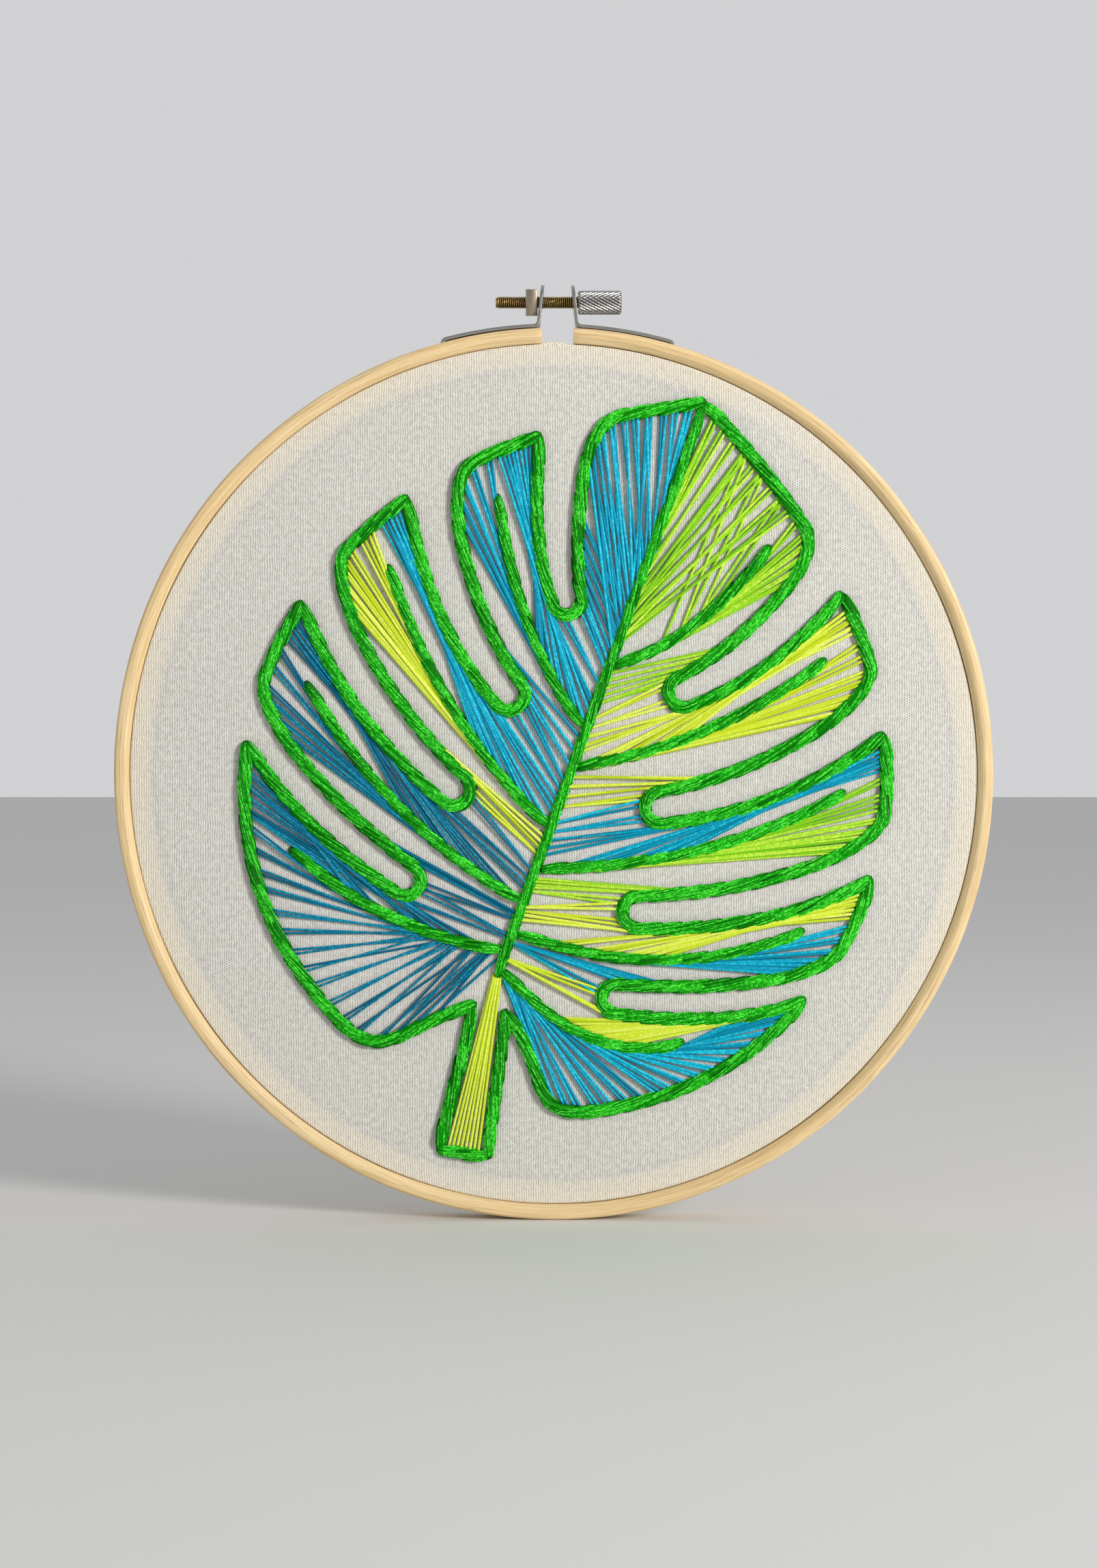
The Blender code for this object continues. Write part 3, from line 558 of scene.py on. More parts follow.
def tubes(name, lines, radii, tones, sides):
    """Round strands along lines of points in space, all with the same count of points, as one piece."""
    lines, tones = np.asarray(lines), np.asarray(tones)
    count, steps = lines.shape[:2]
    radii = np.broadcast_to(radii, (count, steps))
    ways = units(np.gradient(lines, axis=1))
    beside = units(np.cross(ways, [0, -1.0, 0]))
    over = np.cross(beside, ways)
    angles = round_turn(sides) - math.pi / 2
    ring = np.cos(angles)[:, None] * beside[:, :, None] + np.sin(angles)[:, None] * over[:, :, None]
    points = lines[:, :, None] + radii[:, :, None, None] * ring
    first = np.arange(count)[:, None, None] * steps * sides
    k, s = np.meshgrid(np.arange(steps - 1), np.arange(sides), indexing="ij")
    corners = [(k, s), (k, (s + 1) % sides), (k + 1, (s + 1) % sides), (k + 1, s)]
    walls = np.stack([first + a * sides + b for a, b in corners], axis=3).reshape(-1)
    ends = [first[:, 0] + np.arange(sides)[::-1], first[:, 0] + (steps - 1) * sides + np.arange(sides)]
    caps = np.stack(ends, axis=1).reshape(-1)
    quads = count * (steps - 1) * sides
    starts = np.concatenate([np.arange(quads) * 4, quads * 4 + np.arange(2 * count) * sides])
    lengths = np.linalg.norm(np.diff(lines, axis=1), axis=2).cumsum(axis=1)
    along = np.concatenate([np.zeros((count, 1)), lengths], axis=1) + rng.random((count, 1))
    wall_uv = [
        np.stack([along[:, a], np.broadcast_to(b / sides, (count, *b.shape))], axis=3)
        for a, b in ((k, s), (k, s + 1), (k + 1, s + 1), (k + 1, s))
    ]
    uvs = np.vstack([np.stack(wall_uv, axis=3).reshape(-1, 2), np.zeros((2 * count * sides, 2))])
    tone = np.repeat(np.broadcast_to(tones.reshape(count, -1), (count, steps)).ravel(), sides)
    return made(name, points.reshape(-1, 3), np.concatenate([walls, caps]), starts, uvs, tone)


def cut_and_bevelled(piece, cutters, bevel):
    """The piece less its cutters, with bevelled edges and smooth faces."""
    for cutter in cutters:
        hole = piece.modifiers.new("hole", "BOOLEAN")
        hole.operation = "DIFFERENCE"
        hole.object = cutter
    edge = piece.modifiers.new("edge", "BEVEL")
    edge.width = bevel
    edge.segments = 2
    edge.limit_method = "ANGLE"
    edge.angle_limit = math.radians(50)
    mesh = bpy.data.meshes.new_from_object(piece.evaluated_get(bpy.context.evaluated_depsgraph_get()))
    piece.modifiers.clear()
    piece.data = mesh
    for cutter in cutters:
        bpy.data.objects.remove(cutter, do_unlink=True)
    mesh.shade_smooth()
    mesh.set_sharp_from_angle(angle=math.radians(40))
    return piece


def dressed(piece, look, slot, *nodes):
    """The piece with its material, riding on the part's body, in place of its nodes."""
    piece.data.materials.clear()
    piece.data.materials.append(look)
    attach(piece, BODY)
    if nodes:
        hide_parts(*nodes)
    return piece


# Materials


SOCKETS = {"specular": "Specular IOR Level"}


class Look:
    """A material with one Principled shader, and short ways to add nodes to it."""

    def __init__(self, name, **sockets):
        self.material = bpy.data.materials.new(name)
        self.material.use_nodes = True
        self.tree = self.material.node_tree
        self.shader = self.tree.nodes["Principled BSDF"]
        for socket, value in sockets.items():
            self.shader.inputs[SOCKETS.get(socket, socket.replace("_", " ").title())].default_value = value

    def add(self, kind, sockets, output=0, **settings):
        node = self.tree.nodes.new(kind)
        for key, value in settings.items():
            setattr(node, key, value)
        for key, value in sockets.items():
            if isinstance(value, bpy.types.NodeSocket):
                self.tree.links.new(value, node.inputs[key])
            else:
                node.inputs[key].default_value = value
        return node.outputs[output]

    def math(self, operation, *values):
        return self.add("ShaderNodeMath", dict(enumerate(values)), operation=operation)

    def times(self, first, second):
        return self.math("MULTIPLY", first, second)

    def plus(self, first, second):
        return self.math("ADD", first, second)

    def away(self, value, middle):
        return self.math("ABSOLUTE", self.math("SUBTRACT", value, middle))

    def noise(self, vector, detail=2.0, roughness=0.5, scale=1.0):
        sockets = {"Vector": vector, "Scale": scale, "Detail": detail, "Roughness": roughness}
        return self.add("ShaderNodeTexNoise", sockets)

    def range(self, value, low, high, to_low=0.0, to_high=1.0):
        sockets = {"Value": value, "From Min": low, "From Max": high, "To Min": to_low, "To Max": to_high}
        return self.add("ShaderNodeMapRange", sockets)

    def blend(self, share, first, second):
        first, second = (c if isinstance(c, bpy.types.NodeSocket) else (*c, 1) for c in (first, second))
        return self.add("ShaderNodeMix", {0: share, 6: first, 7: second}, output=2, data_type="RGBA")

    def layered(self, tone, *layers):
        """The tone under layers of colour, each with the share that a value's range comes to."""
        for value, low, high, to_low, to_high, colour in layers:
            tone = self.blend(self.range(value, low, high, to_low, to_high), tone, colour)
        return tone

    def uv(self, u=1, v=1):
        """The UV in metres, times a factor each way."""
        metres = self.add("ShaderNodeUVMap", {}, uv_map="metres")
        return self.add("ShaderNodeMapping", {"Vector": metres, "Scale": (u, v, 1)})

    def place(self, x, y, z):
        """The place on the object in metres, times a factor each way."""
        here = self.add("ShaderNodeTexCoord", {}, output=3)
        return self.add("ShaderNodeMapping", {"Vector": here, "Scale": (x, y, z)})

    def parts(self, vector):
        return self.add("ShaderNodeSeparateXYZ", {0: vector}).node.outputs[:2]

    def pair(self, first, second):
        return self.add("ShaderNodeCombineXYZ", {0: first, 1: second})

    def tone(self):
        return self.add("ShaderNodeAttribute", {}, output=2, attribute_name="tone")

    def join(self, base, roughness=None, height=None, depth=0.0, strength=1.0):
        """The finished material, from its colour and, where given, roughness and relief."""
        shader, links = self.shader.inputs, self.tree.links
        links.new(base, shader["Base Color"])
        if roughness is not None:
            links.new(roughness, shader["Roughness"])
        if height is not None:
            bump = self.add("ShaderNodeBump", {"Height": height, "Distance": depth, "Strength": strength})
            links.new(bump, shader["Normal"])
        return self.material


def bamboo(name, light, dark, seam=None):
    """Pale bamboo strip under thin varnish: fibres and grain lines along the strip, and a few brown streaks.

    A seam is the glued joint of a closed strip, at a place along it.
    """
    look = Look(name, coat_weight=0.15, coat_roughness=0.3, specular=0.4)
    fibres = look.noise(look.uv(90, 5200), 4.0, 0.65)
    bands = look.noise(look.uv(9, 620), 3.0)
    patches = look.noise(look.uv(14, 90))
    grain = look.noise(look.uv(16, 1500), 3.0, 0.6)
    line = look.range(look.away(grain, 0.5), 0.0, 0.03, 1.0, 0.0)
    line = look.times(line, look.range(patches, 0.35, 0.6, 0.35, 0.8))
    streaks = look.noise(look.uv(30, 1900), 3.0)
    tone = look.layered(
        light,
        (bands, 0.32, 0.68, 0.0, 1.0, dark),
        (fibres, 0.42, 0.72, 0.0, 0.5, (0.50, 0.32, 0.13)),
        (patches, 0.5, 0.75, 0.0, 0.4, (0.90, 0.74, 0.46)),
    )
    tone = look.blend(line, tone, (0.46, 0.28, 0.10))
    tone = look.layered(tone, (streaks, 0.63, 0.72, 0.0, 0.6, (0.34, 0.19, 0.07)))
    if seam is not None:
        away = look.away(look.parts(look.uv())[0], seam)
        tone = look.layered(tone, (away, 0.4 * SEAM_WIDTH, SEAM_WIDTH, 0.85, 0.0, (0.20, 0.11, 0.04)))
    rough = look.range(fibres, 0.3, 0.7, 0.36, 0.58)
    return look.join(tone, rough, fibres, 0.06 * MM, 0.6)


def weave():
    """Plain-woven cotton: light upright yarns with painted shade as dark dashes between them, staggered from
    line to line.

    The cloth is warmer over the inner ring, which shows through, with a faint shade along the ring's edge.
    """
    look = Look("woven_cloth", roughness=0.92, sheen_weight=0.1, sheen_roughness=0.6, specular=0.2)
    metres = look.uv()
    wander = look.add("ShaderNodeTexNoise", {"Vector": metres, "Scale": 380.0, "Detail": 3.0}, output=1)
    shift = look.add("ShaderNodeVectorMath", {0: wander, 1: (0.5, 0.5, 0.5)}, operation="SUBTRACT")
    shift = look.add("ShaderNodeVectorMath", {0: shift, "Scale": YARN_WANDER}, operation="SCALE")
    u, v = look.parts(look.add("ShaderNodeVectorMath", {0: metres, 1: shift}, operation="ADD"))
    warp = look.math("SINE", look.times(u, math.pi / WARP_PITCH))
    weft = look.math("SINE", look.times(v, math.pi / WEFT_PITCH))
    dashes = look.times(look.math("POWER", warp, 3.0), look.range(weft, -0.8, 0.8, -0.6, 0.6))
    woven = look.plus(dashes, look.times(look.math("POWER", warp, 2.0), -1.0))
    uneven = look.noise(metres, scale=900.0)
    slubs = look.noise(look.uv(1500, 120))
    cloudy = look.noise(metres, 3.0, scale=45.0)
    away = look.add("ShaderNodeVectorMath", {0: metres}, output=1, operation="LENGTH")
    over_ring = look.range(away, INNER_RING_INSIDE - 0.8 * MM, INNER_RING_INSIDE + 0.6 * MM, 0.0, 0.55)
    rim = look.times(over_ring, look.range(away, INNER_RING_INSIDE, CLOTH_OUTSIDE, 1.0, 1.6))
    yarn = look.layered(
        (0.76, 0.745, 0.705),
        (uneven, 0.35, 0.7, 0.0, 1.0, (0.835, 0.82, 0.775)),
        (slubs, 0.55, 0.8, 0.0, 0.5, (0.88, 0.865, 0.82)),
        (cloudy, 0.35, 0.7, 0.0, 0.3, (0.73, 0.715, 0.67)),
        (look.away(away, INNER_RING_INSIDE - 0.9 * MM), 0.0, 1.4 * MM, 0.24, 0.0, (0.66, 0.64, 0.60)),
    )
    yarn = look.blend(look.times(rim, look.range(cloudy, 0.25, 0.5, 0.6, 1.0)), yarn, (0.88, 0.80, 0.64))
    dips = look.plus(look.plus(woven, look.range(uneven, 0.3, 0.7, -0.25, 0.25)), look.times(rim, 0.3))
    # The hollows of the weave take a painted shade, less of it over the inner ring
    tone = look.blend(look.range(dips, -1.7, 0.0), (0.34, 0.325, 0.29), yarn)
    return look.join(tone, None, look.plus(woven, look.times(uneven, 0.5)), 0.07 * MM, 0.7)


# glints is how strong the painted highlights are; light is the lighter strands' colour and the base of the
# painted highlights
Floss = namedtuple(
    "Floss", "name dark middle light glints gloss plies relief twist_mm", defaults=(0.5, 0.15, 3, 0.5, 2.2)
)
FLOSSES = {
    "yarn": Floss(
        "loose_yarn", (0.50, 0.47, 0.42), (0.80, 0.77, 0.70), (0.92, 0.90, 0.85), 0.2, 0.2, 2, 0.35, 0.8
    ),
    "green": Floss(
        "green_floss",
        (0.0002, 0.055, 0.0002), (0.0005, 0.38, 0.0005), (0.065, 0.82, 0.035), 0.95, 0.1, 2, 0.35
    ),
    # The cords' cores: a dark green, a painted shade where it shows between the strands
    "shaded green core": Floss(
        "green_core_painted_shade", (0.0005, 0.06, 0.0005), (0.001, 0.15, 0.002), (0.004, 0.24, 0.003), 0.0, 0.1, 2, 0.35
    ),
    "blue": Floss("blue_thread", (0.0005, 0.17, 0.28), (0.0005, 0.37, 0.57), (0.01, 0.64, 0.85)),
    "deep blue": Floss("deep_blue_thread", (0.0005, 0.09, 0.17), (0.0005, 0.18, 0.32), (0.003, 0.36, 0.53)),
    "lime": Floss("lime_thread", (0.45, 0.58, 0.003), (0.68, 0.84, 0.03), (0.90, 1.0, 0.18)),
    "leaf lime": Floss("leaf_lime_thread", (0.10, 0.46, 0.005), (0.32, 0.72, 0.015), (0.68, 0.95, 0.08)),
}


def floss(kind):
    """Stranded cotton: twisted plies with painted shade in the grooves between them and short painted
    highlights. The UV runs along the strand and once round it.
    """
    look = Look(kind.name, roughness=0.40, specular=kind.gloss)
    along, around = look.parts(look.uv())
    turns = look.plus(look.times(along, 1 / (kind.twist_mm * MM)), around)
    plied = look.math("ABSOLUTE", look.math("SINE", look.times(turns, math.pi * kind.plies)))
    fine = look.noise(look.pair(look.times(turns, 9.0), look.times(along, 520.0)), 3.0)
    highlight_flecks = look.noise(look.pair(look.times(along, 1150.0), look.times(around, 1.5)), 1.0)
    # From the dark colour the plies turn to the middle one, but for a painted shade in the grooves between
    # them; fine streaks are painted highlight
    # Low tones darken and high tones lighten: the strands' own spread of colour, and painted shade at stitch
    # ends and on the cords' cores
    body = look.layered(
        kind.dark,
        (plied, 0.0, 0.45, 0.9 - kind.relief, 1.0, kind.middle),
        (fine, 0.52, 0.72, 0.0, 0.5, kind.light),
        (look.tone(), 0.0, 0.55, 0.85, 0.0, kind.dark),
        (look.tone(), 0.55, 1.0, 0.0, 0.5, kind.light),
    )
    # Painted highlights: short light marks on the higher-toned strands, as strong as the glints, brighter
    # than the light colour
    lit = look.times(look.range(highlight_flecks, 0.50, 0.60), look.range(look.tone(), 0.3, 0.7, 0.0, kind.glints))
    body = look.blend(lit, body, tuple(min(1, 0.04 + 1.2 * c) for c in kind.light))
    return look.join(body, None, look.plus(plied, look.times(fine, 0.7)), 0.06 * MM, kind.relief)


Metal = namedtuple("Metal", "name colour dull roughness scratch", defaults=((2500, 2500, 300),))
METALS = {
    "steel": Metal("strap_steel", (0.46, 0.445, 0.415), (0.30, 0.29, 0.265), 0.34, (2500, 300, 2500)),
    "bright steel": Metal("bright_steel", (0.74, 0.725, 0.70), (0.50, 0.485, 0.46), 0.28),
    "old nickel": Metal("old_nickel", (0.40, 0.335, 0.25), (0.25, 0.20, 0.14), 0.40),
    "brass": Metal("thread_brass", (0.60, 0.44, 0.20), (0.40, 0.28, 0.12), 0.30),
}


def metal(kind):
    """Worn plated metal: fine scratches, dull patches, and a painted shade in the grooves, where its tone is
    low.
    """
    look = Look(kind.name, metallic=1.0)
    scratches = look.noise(look.place(*kind.scratch), 3.0, 0.7)
    stains = look.noise(look.place(420, 420, 420), 3.0)
    # Dull patches are wear; a low tone, as in the grooves, takes a painted shade near black
    tone = look.layered(
        kind.colour,
        (stains, 0.45, 0.7, 0.0, 0.6, kind.dull),
        (look.tone(), 0.0, 0.9, 1.0, 0.0, tuple(c * 0.06 for c in kind.dull)),
    )
    rough = look.range(look.plus(scratches, stains), 0.7, 1.3, kind.roughness - 0.1, kind.roughness + 0.14)
    return look.join(tone, rough, scratches, 0.02 * MM, 0.5)


def all_looks():
    looks = {
        "outer bamboo": bamboo("outer_bamboo", (0.95, 0.74, 0.415), (0.82, 0.59, 0.29)),
        "inner bamboo": bamboo("inner_bamboo", (0.80, 0.60, 0.33), (0.65, 0.45, 0.22), INNER_SEAM),
        "cloth": weave(),
    }
    looks.update((name, floss(kind)) for name, kind in FLOSSES.items())
    looks.update((name, metal(kind)) for name, kind in METALS.items())
    return looks


# The hoop and its cloth


def round_hoop(radius, angle, y):
    """A point at a radius from the hoop's middle, at an angle from its top towards +X."""
    x = HOOP_X + radius * np.sin(angle)
    return np.stack(np.broadcast_arrays(x, y, HOOP_Z + radius * HOOP_TALLER * np.cos(angle)), axis=-1)


def hoop_angle(x):
    """The angle at which the outer ring's outside passes over a place on X near the top."""
    return math.asin((x - HOOP_X) / HOOP_RADIUS)


def rounded(corners, rounds):
    """A closed profile of radius and Y with its corners rounded."""
    corners = np.array(corners)
    profile = []
    for k, (corner, radius) in enumerate(zip(corners, rounds)):
        start, end = (corner + radius * unit(corners[j % len(corners)] - corner) for j in (k - 1, k + 1))
        profile.append(bezier([start, corner, end], ROUND_STEPS))
    return np.vstack(profile)


def hoop_ring(name, profile, start, end, closed):
    """A bamboo strip bent round the hoop, a little uneven, from its profile and the angles of its ends."""
    stops = np.linspace(start, end, HOOP_STEPS + 1)
    angles = stops[:-1] if closed else stops
    wobble = RING_WOBBLE * (np.sin(5 * angles + 1) + 0.7 * np.sin(11 * angles))
    points = round_hoop(profile[:, 0] + wobble[:, None], angles[:, None], profile[:, 1])
    v = stations(looped(profile))
    ring = grid(name, points, stops * HOOP_RADIUS, v, wrap_u=closed, wrap_v=True, capped=not closed, sharp=50)
    return faces_out(ring)


def block(name, centre, ways, halves):
    """A box from its middle, its three directions and its half sizes."""
    signs = np.array([(a, b, c) for a in (-1, 1) for b in (-1, 1) for c in (-1, 1)])
    points = np.array(centre) + (signs * halves) @ np.array(ways)
    shape = bmesh.new()
    for p in points:
        shape.verts.new(p)
    bmesh.ops.convex_hull(shape, input=shape.verts)
    mesh = bpy.data.meshes.new(name)
    shape.to_mesh(mesh)
    shape.free()
    return placed(name, mesh)


def lip_notch(side):
    """The room that a strap's hooked end takes up in the outer ring."""
    angle = hoop_angle(side * STRAP_REACH)
    middle = round_hoop(HOOP_RADIUS, angle, 0)
    ways = ((math.cos(angle), 0, -math.sin(angle)), (0, 1, 0), (math.sin(angle), 0, math.cos(angle)))
    halves = (STRAP_THICKNESS / 2 + NOTCH_ROOM, STRAP_WIDTH / 2 + NOTCH_ROOM, LIP_DEPTH + NOTCH_ROOM)
    return block("notch", middle, ways, halves)


def outer_ring():
    """The split ring: its front edges are well rounded, and its other edges a little."""
    inside, back = HOOP_RADIUS - RING_THICKNESS, -RING_FRONT
    bevel = [(inside, RING_FRONT + RING_BEVEL_DEPTH), (inside + RING_BEVEL_WIDTH, RING_FRONT)]
    corners = [(HOOP_RADIUS, RING_FRONT), (HOOP_RADIUS, back), (inside, back), *bevel]
    profile = rounded(corners, (RING_CROWN, RING_EDGE, RING_EDGE, RING_EDGE / 2, RING_CROWN / 2))
    right, left = hoop_angle(GAP_WIDTH / 2), hoop_angle(-GAP_WIDTH / 2) + 2 * math.pi
    ring = hoop_ring("outer_ring_strip", profile, right, left, closed=False)
    return cut_and_bevelled(ring, [lip_notch(side) for side in (LEFT, RIGHT)], EDGE_BEVEL)


def inner_ring():
    """The closed ring behind the cloth, with all its edges rounded a little."""
    outside, inside = INNER_RING_OUTSIDE, INNER_RING_INSIDE
    front, back = INNER_RING_FRONT, INNER_RING_FRONT + RING_DEPTH
    corners = [(outside, front), (outside, back), (inside, back), (inside, front)]
    return hoop_ring("inner_ring_strip", rounded(corners, [RING_EDGE] * 4), 0, 2 * math.pi, closed=True)


def cloth_section():
    """The cloth's section, as rows of radius and Y from the middle of its front to the middle of its back.

    It also says how many of them lie before the trimmed edge.
    """
    inside, flat = CLOTH_OUTSIDE - CLOTH_THICKNESS, CLOTH_RIM - CLOTH_FOLD
    corner = [(flat, CLOTH_FRONT), (CLOTH_RIM, CLOTH_FRONT), (CLOTH_RIM, CLOTH_FRONT + CLOTH_FOLD)]
    rows = [(r, CLOTH_FRONT) for r in np.linspace(CLOTH_MIDDLE, flat, FRONT_ROWS)]
    rows += [tuple(p) for p in bezier(corner, FOLD_ROWS)[1:]]
    rows += [(CLOTH_RIM, y) for y in np.linspace(CLOTH_FRONT + CLOTH_FOLD, CLOTH_TRIM, FOLD_ROWS)[1:]]
    trimmed = len(rows)
    rows += [(inside, CLOTH_TRIM), (inside, CLOTH_BACK + CLOTH_FOLD)]
    rows += [(r, CLOTH_BACK) for r in np.linspace(inside - CLOTH_FOLD, CLOTH_MIDDLE, BACK_ROWS)]
    return np.array(rows), trimmed


def cloth_relief(flat, stitched):
    """How far the flat front lies back: dimples along the stitches and slight waves, less near the rim."""
    near = np.concatenate([distances(chunk, stitched) for chunk in np.array_split(flat, 60)])
    dimple = DIMPLE_DEPTH * np.exp(-(near / DIMPLE_REACH) ** 2)
    x, z = flat[:, 0] / MM, flat[:, 1] / MM
    waves = np.sin(x / 7.3 + 1.7 * np.sin(z / 17)) + np.sin(z / 9.1 + 1.3 * np.sin(x / 13) + 2)
    from_rim = CLOTH_RIM - CLOTH_FOLD - np.hypot(flat[:, 0], flat[:, 1] / HOOP_TALLER)
    return (dimple + WAVE_HEIGHT * waves) * np.clip(from_rim / WAVES_FADE, 0, 1)


def cloth(stitched):
    """A tight front that the stitches pull in, a fold over the inner ring, and a trimmed border."""
    rows, trimmed = cloth_section()
    angles = round_turn(HOOP_STEPS)
    radius, y = (np.repeat(rows[:, k:k + 1], HOOP_STEPS, axis=1) for k in (0, 1))
    from_top = np.abs((angles + math.pi) % (2 * math.pi) - math.pi) * HOOP_RADIUS
    radius[FRONT_ROWS:trimmed] += CLOTH_BULGE * np.clip(1 - from_top / (0.55 * GAP_WIDTH), 0, 1) ** 0.8
    ragged = 0.12 * MM * np.sin(37 * angles) + 0.18 * MM * np.sin(13 * angles + 2)
    y[trimmed - 1:trimmed + 1] += np.minimum(0, ragged)
    flat = np.stack([radius * np.sin(angles), radius * HOOP_TALLER * np.cos(angles)], axis=-1)[:FRONT_ROWS]
    y[:FRONT_ROWS] += cloth_relief(flat.reshape(-1, 2), stitched).reshape(FRONT_ROWS, HOOP_STEPS)
    u, v = np.arange(len(rows) + 1), np.arange(HOOP_STEPS + 1)
    piece = grid("woven_cloth", round_hoop(radius, angles, y), u, v, wrap_v=True, capped=True, sharp=60)
    faces_out(piece)
    laid_out = stations(rows)
    laid_out[trimmed:] = laid_out[trimmed - 1] - (laid_out[trimmed:] - laid_out[trimmed])
    steps = np.empty(len(piece.data.loops), np.int32)
    piece.data.loops.foreach_get("vertex_index", steps)
    ways = np.stack([np.sin(angles), np.cos(angles)], axis=1)
    cut = laid_out[steps // HOOP_STEPS, None] * ways[steps % HOOP_STEPS]
    piece.data.uv_layers["metres"].data.foreach_set("uv", cut.astype(np.float32).ravel())
    return piece


# The clamp


def bracket(side):
    """A strap that hooks into the outer ring, lies on it and turns up into a round-topped ear with a hole."""
    seat = HOOP_RADIUS + CLEARANCE + STRAP_THICKNESS / 2
    far, near = hoop_angle(side * STRAP_REACH), hoop_angle(side * EAR_FOOT)
    foot = round_hoop(seat, np.linspace(far, near, 40), 0)[:, [0, 2]]
    lip = np.array([round_hoop(HOOP_RADIUS - LIP_DEPTH, far, 0)[[0, 2]], foot[0]])
    ear = np.array([foot[-1], (side * EAR_TIP, SCREW_Z + EAR_OVER_SCREW)])
    path = joined([lip, foot, ear], STRAP_BEND, closed=False)
    half = STRAP_WIDTH / 2
    whole = stations(path)[-1]
    crown = np.array([half * (1 - math.cos(a)) for a in np.linspace(math.radians(12), math.pi / 2, 10)])
    path = np.vstack([path[:-1], point_on(path, whole - crown[::-1]), path[-1:]])
    left, right = (offset(path, way * STRAP_THICKNESS / 2) for way in (-1, 1))
    into = np.maximum(0, half - (whole - stations(path)))
    wide = np.sqrt(np.maximum(half**2 - into**2, (0.2 * half) ** 2))
    rows = np.array([
        [(x0, -w, z0), (x1, -w, z1), (x1, w, z1), (x0, w, z0)]
        for (x0, z0), (x1, z1), w in zip(left, right, wide)
    ])
    name, v = f"bracket_{WORDS[side]}_strap", np.arange(5) * STRAP_WIDTH
    strap = faces_out(grid(name, rows, stations(path), v, wrap_v=True, capped=True))
    hole = round_rod("hole", [(side * x * MM, SCREW_RADIUS + CLEARANCE) for x in (6, 2)], 40)
    cut_and_bevelled(strap, [hole], EDGE_BEVEL)
    toned(strap.data, 1)
    return strap


def round_rod(name, profile, sides, wave=0, tones=None):
    """A round piece on the screw's axis, from rows of X and radius, and a change of radius over its wall."""
    profile = np.array(profile)
    angles = round_turn(sides)
    radius = np.repeat(profile[:, 1:], sides, axis=1) + wave
    x = np.repeat(profile[:, :1], sides, axis=1)
    rows = np.stack([x, radius * np.sin(angles), SCREW_Z + radius * np.cos(angles)], axis=-1)
    u, v = stations(profile), np.arange(sides + 1) * 2 * math.pi / sides * profile[:, 1].max()
    return faces_out(grid(name, rows, u, v, wrap_v=True, capped=True, tones=tones, sharp=40))


def threaded_rod():
    """The screw's thread, as a wall whose radius follows the helix."""
    x = np.linspace(SCREW_START, KNOB_START + 0.5 * MM, SCREW_ROWS)
    turn = (x[:, None] / THREAD_PITCH - round_turn(SCREW_SIDES) / (2 * math.pi)) % 1
    ridge = np.clip(1.35 * (1 - np.abs(2 * turn - 1)) - 0.12, 0, 1)
    near_end = np.clip((x - SCREW_START) / (0.8 * MM), 0.25, 1)[:, None]
    wave = -THREAD_DEPTH * (1 - ridge) * near_end - 0.35 * MM * (1 - near_end)
    profile = np.stack([x, np.full(SCREW_ROWS, SCREW_RADIUS)], axis=1)
    # The ridge is also the tone, so the thread's grooves take a painted shade
    return round_rod("screw_thread", profile, SCREW_SIDES, wave, ridge)


def knurled_knob():
    """The knob: two sets of slanting grooves, each the deeper on one side of a line along the knob."""
    end = KNOB_START + KNOB_LENGTH
    x = np.linspace(KNOB_START, end, KNOB_ROWS)
    angles = round_turn(KNOB_SIDES)
    slant = KNURL_SLANT * (x[:, None] - KNOB_START) / KNOB_RADIUS * KNURLS
    forward, backward = (np.abs(np.sin((KNURLS * angles + way * slant) / 2)) ** 0.8 for way in (-1, 1))
    weight = 0.5 + 0.5 * np.tanh(6 * np.sin(angles - KNURL_MEET))
    ridge = np.minimum(1 - (0.25 + 0.75 * weight) * (1 - forward), 1 - (1 - 0.75 * weight) * (1 - backward))
    radius = KNOB_RADIUS - np.maximum(0, KNOB_CHAMFER - np.minimum(x - KNOB_START, end - x))
    start = [(KNOB_START, radius[0] - 0.5 * MM)]
    cap = [(end, radius[-1] - 0.5 * MM), (end - 0.12 * MM, radius[-1] - 0.8 * MM)]
    profile = np.vstack([start, np.stack([x, radius], axis=1), cap])
    ends = ((len(start), len(cap)), (0, 0))
    wave = np.pad(-KNURL_DEPTH * (1 - ridge), ends)
    # The tone is low in the grooves, where the metal's look paints shade
    tones = np.pad(np.clip(1.9 * ridge - 0.8, 0, 1), ends, constant_values=1)
    return round_rod("screw_knob", profile, KNOB_SIDES, wave, tones)


def square_nut():
    """The nut, turned a little about the screw, with its bore."""
    cos, sin = math.cos(NUT_TURN), math.sin(NUT_TURN)
    middle = (NUT_FACE - NUT_THICKNESS / 2, 0, SCREW_Z)
    halves = (NUT_THICKNESS / 2, NUT_WIDTH / 2, NUT_WIDTH / 2)
    piece = block("square_nut", middle, [(1, 0, 0), (0, cos, sin), (0, -sin, cos)], halves)
    bore = [(NUT_FACE - NUT_THICKNESS - 1 * MM, SCREW_RADIUS), (NUT_FACE + 1 * MM, SCREW_RADIUS)]
    cut_and_bevelled(piece, [round_rod("bore", bore, 32)], NUT_BEVEL)
    toned(piece.data, 1)
    return piece


# The stitches


def on_cloth(points, height):
    """Points of the drawing, at heights over the cloth."""
    points = np.asarray(points)
    x, z = HOOP_X + points[..., 0], HOOP_Z + points[..., 1]
    return np.stack([x, np.broadcast_to(CLOTH_FRONT - height, x.shape), z], axis=-1)


def lengthened(path, extra):
    """The path with a little more at both ends."""
    start, end = (extra * unit(path[k] - path[k + way]) for k, way in ((0, 1), (-1, -1)))
    return np.vstack([path[:1] + start, path, path[-1:] + end])


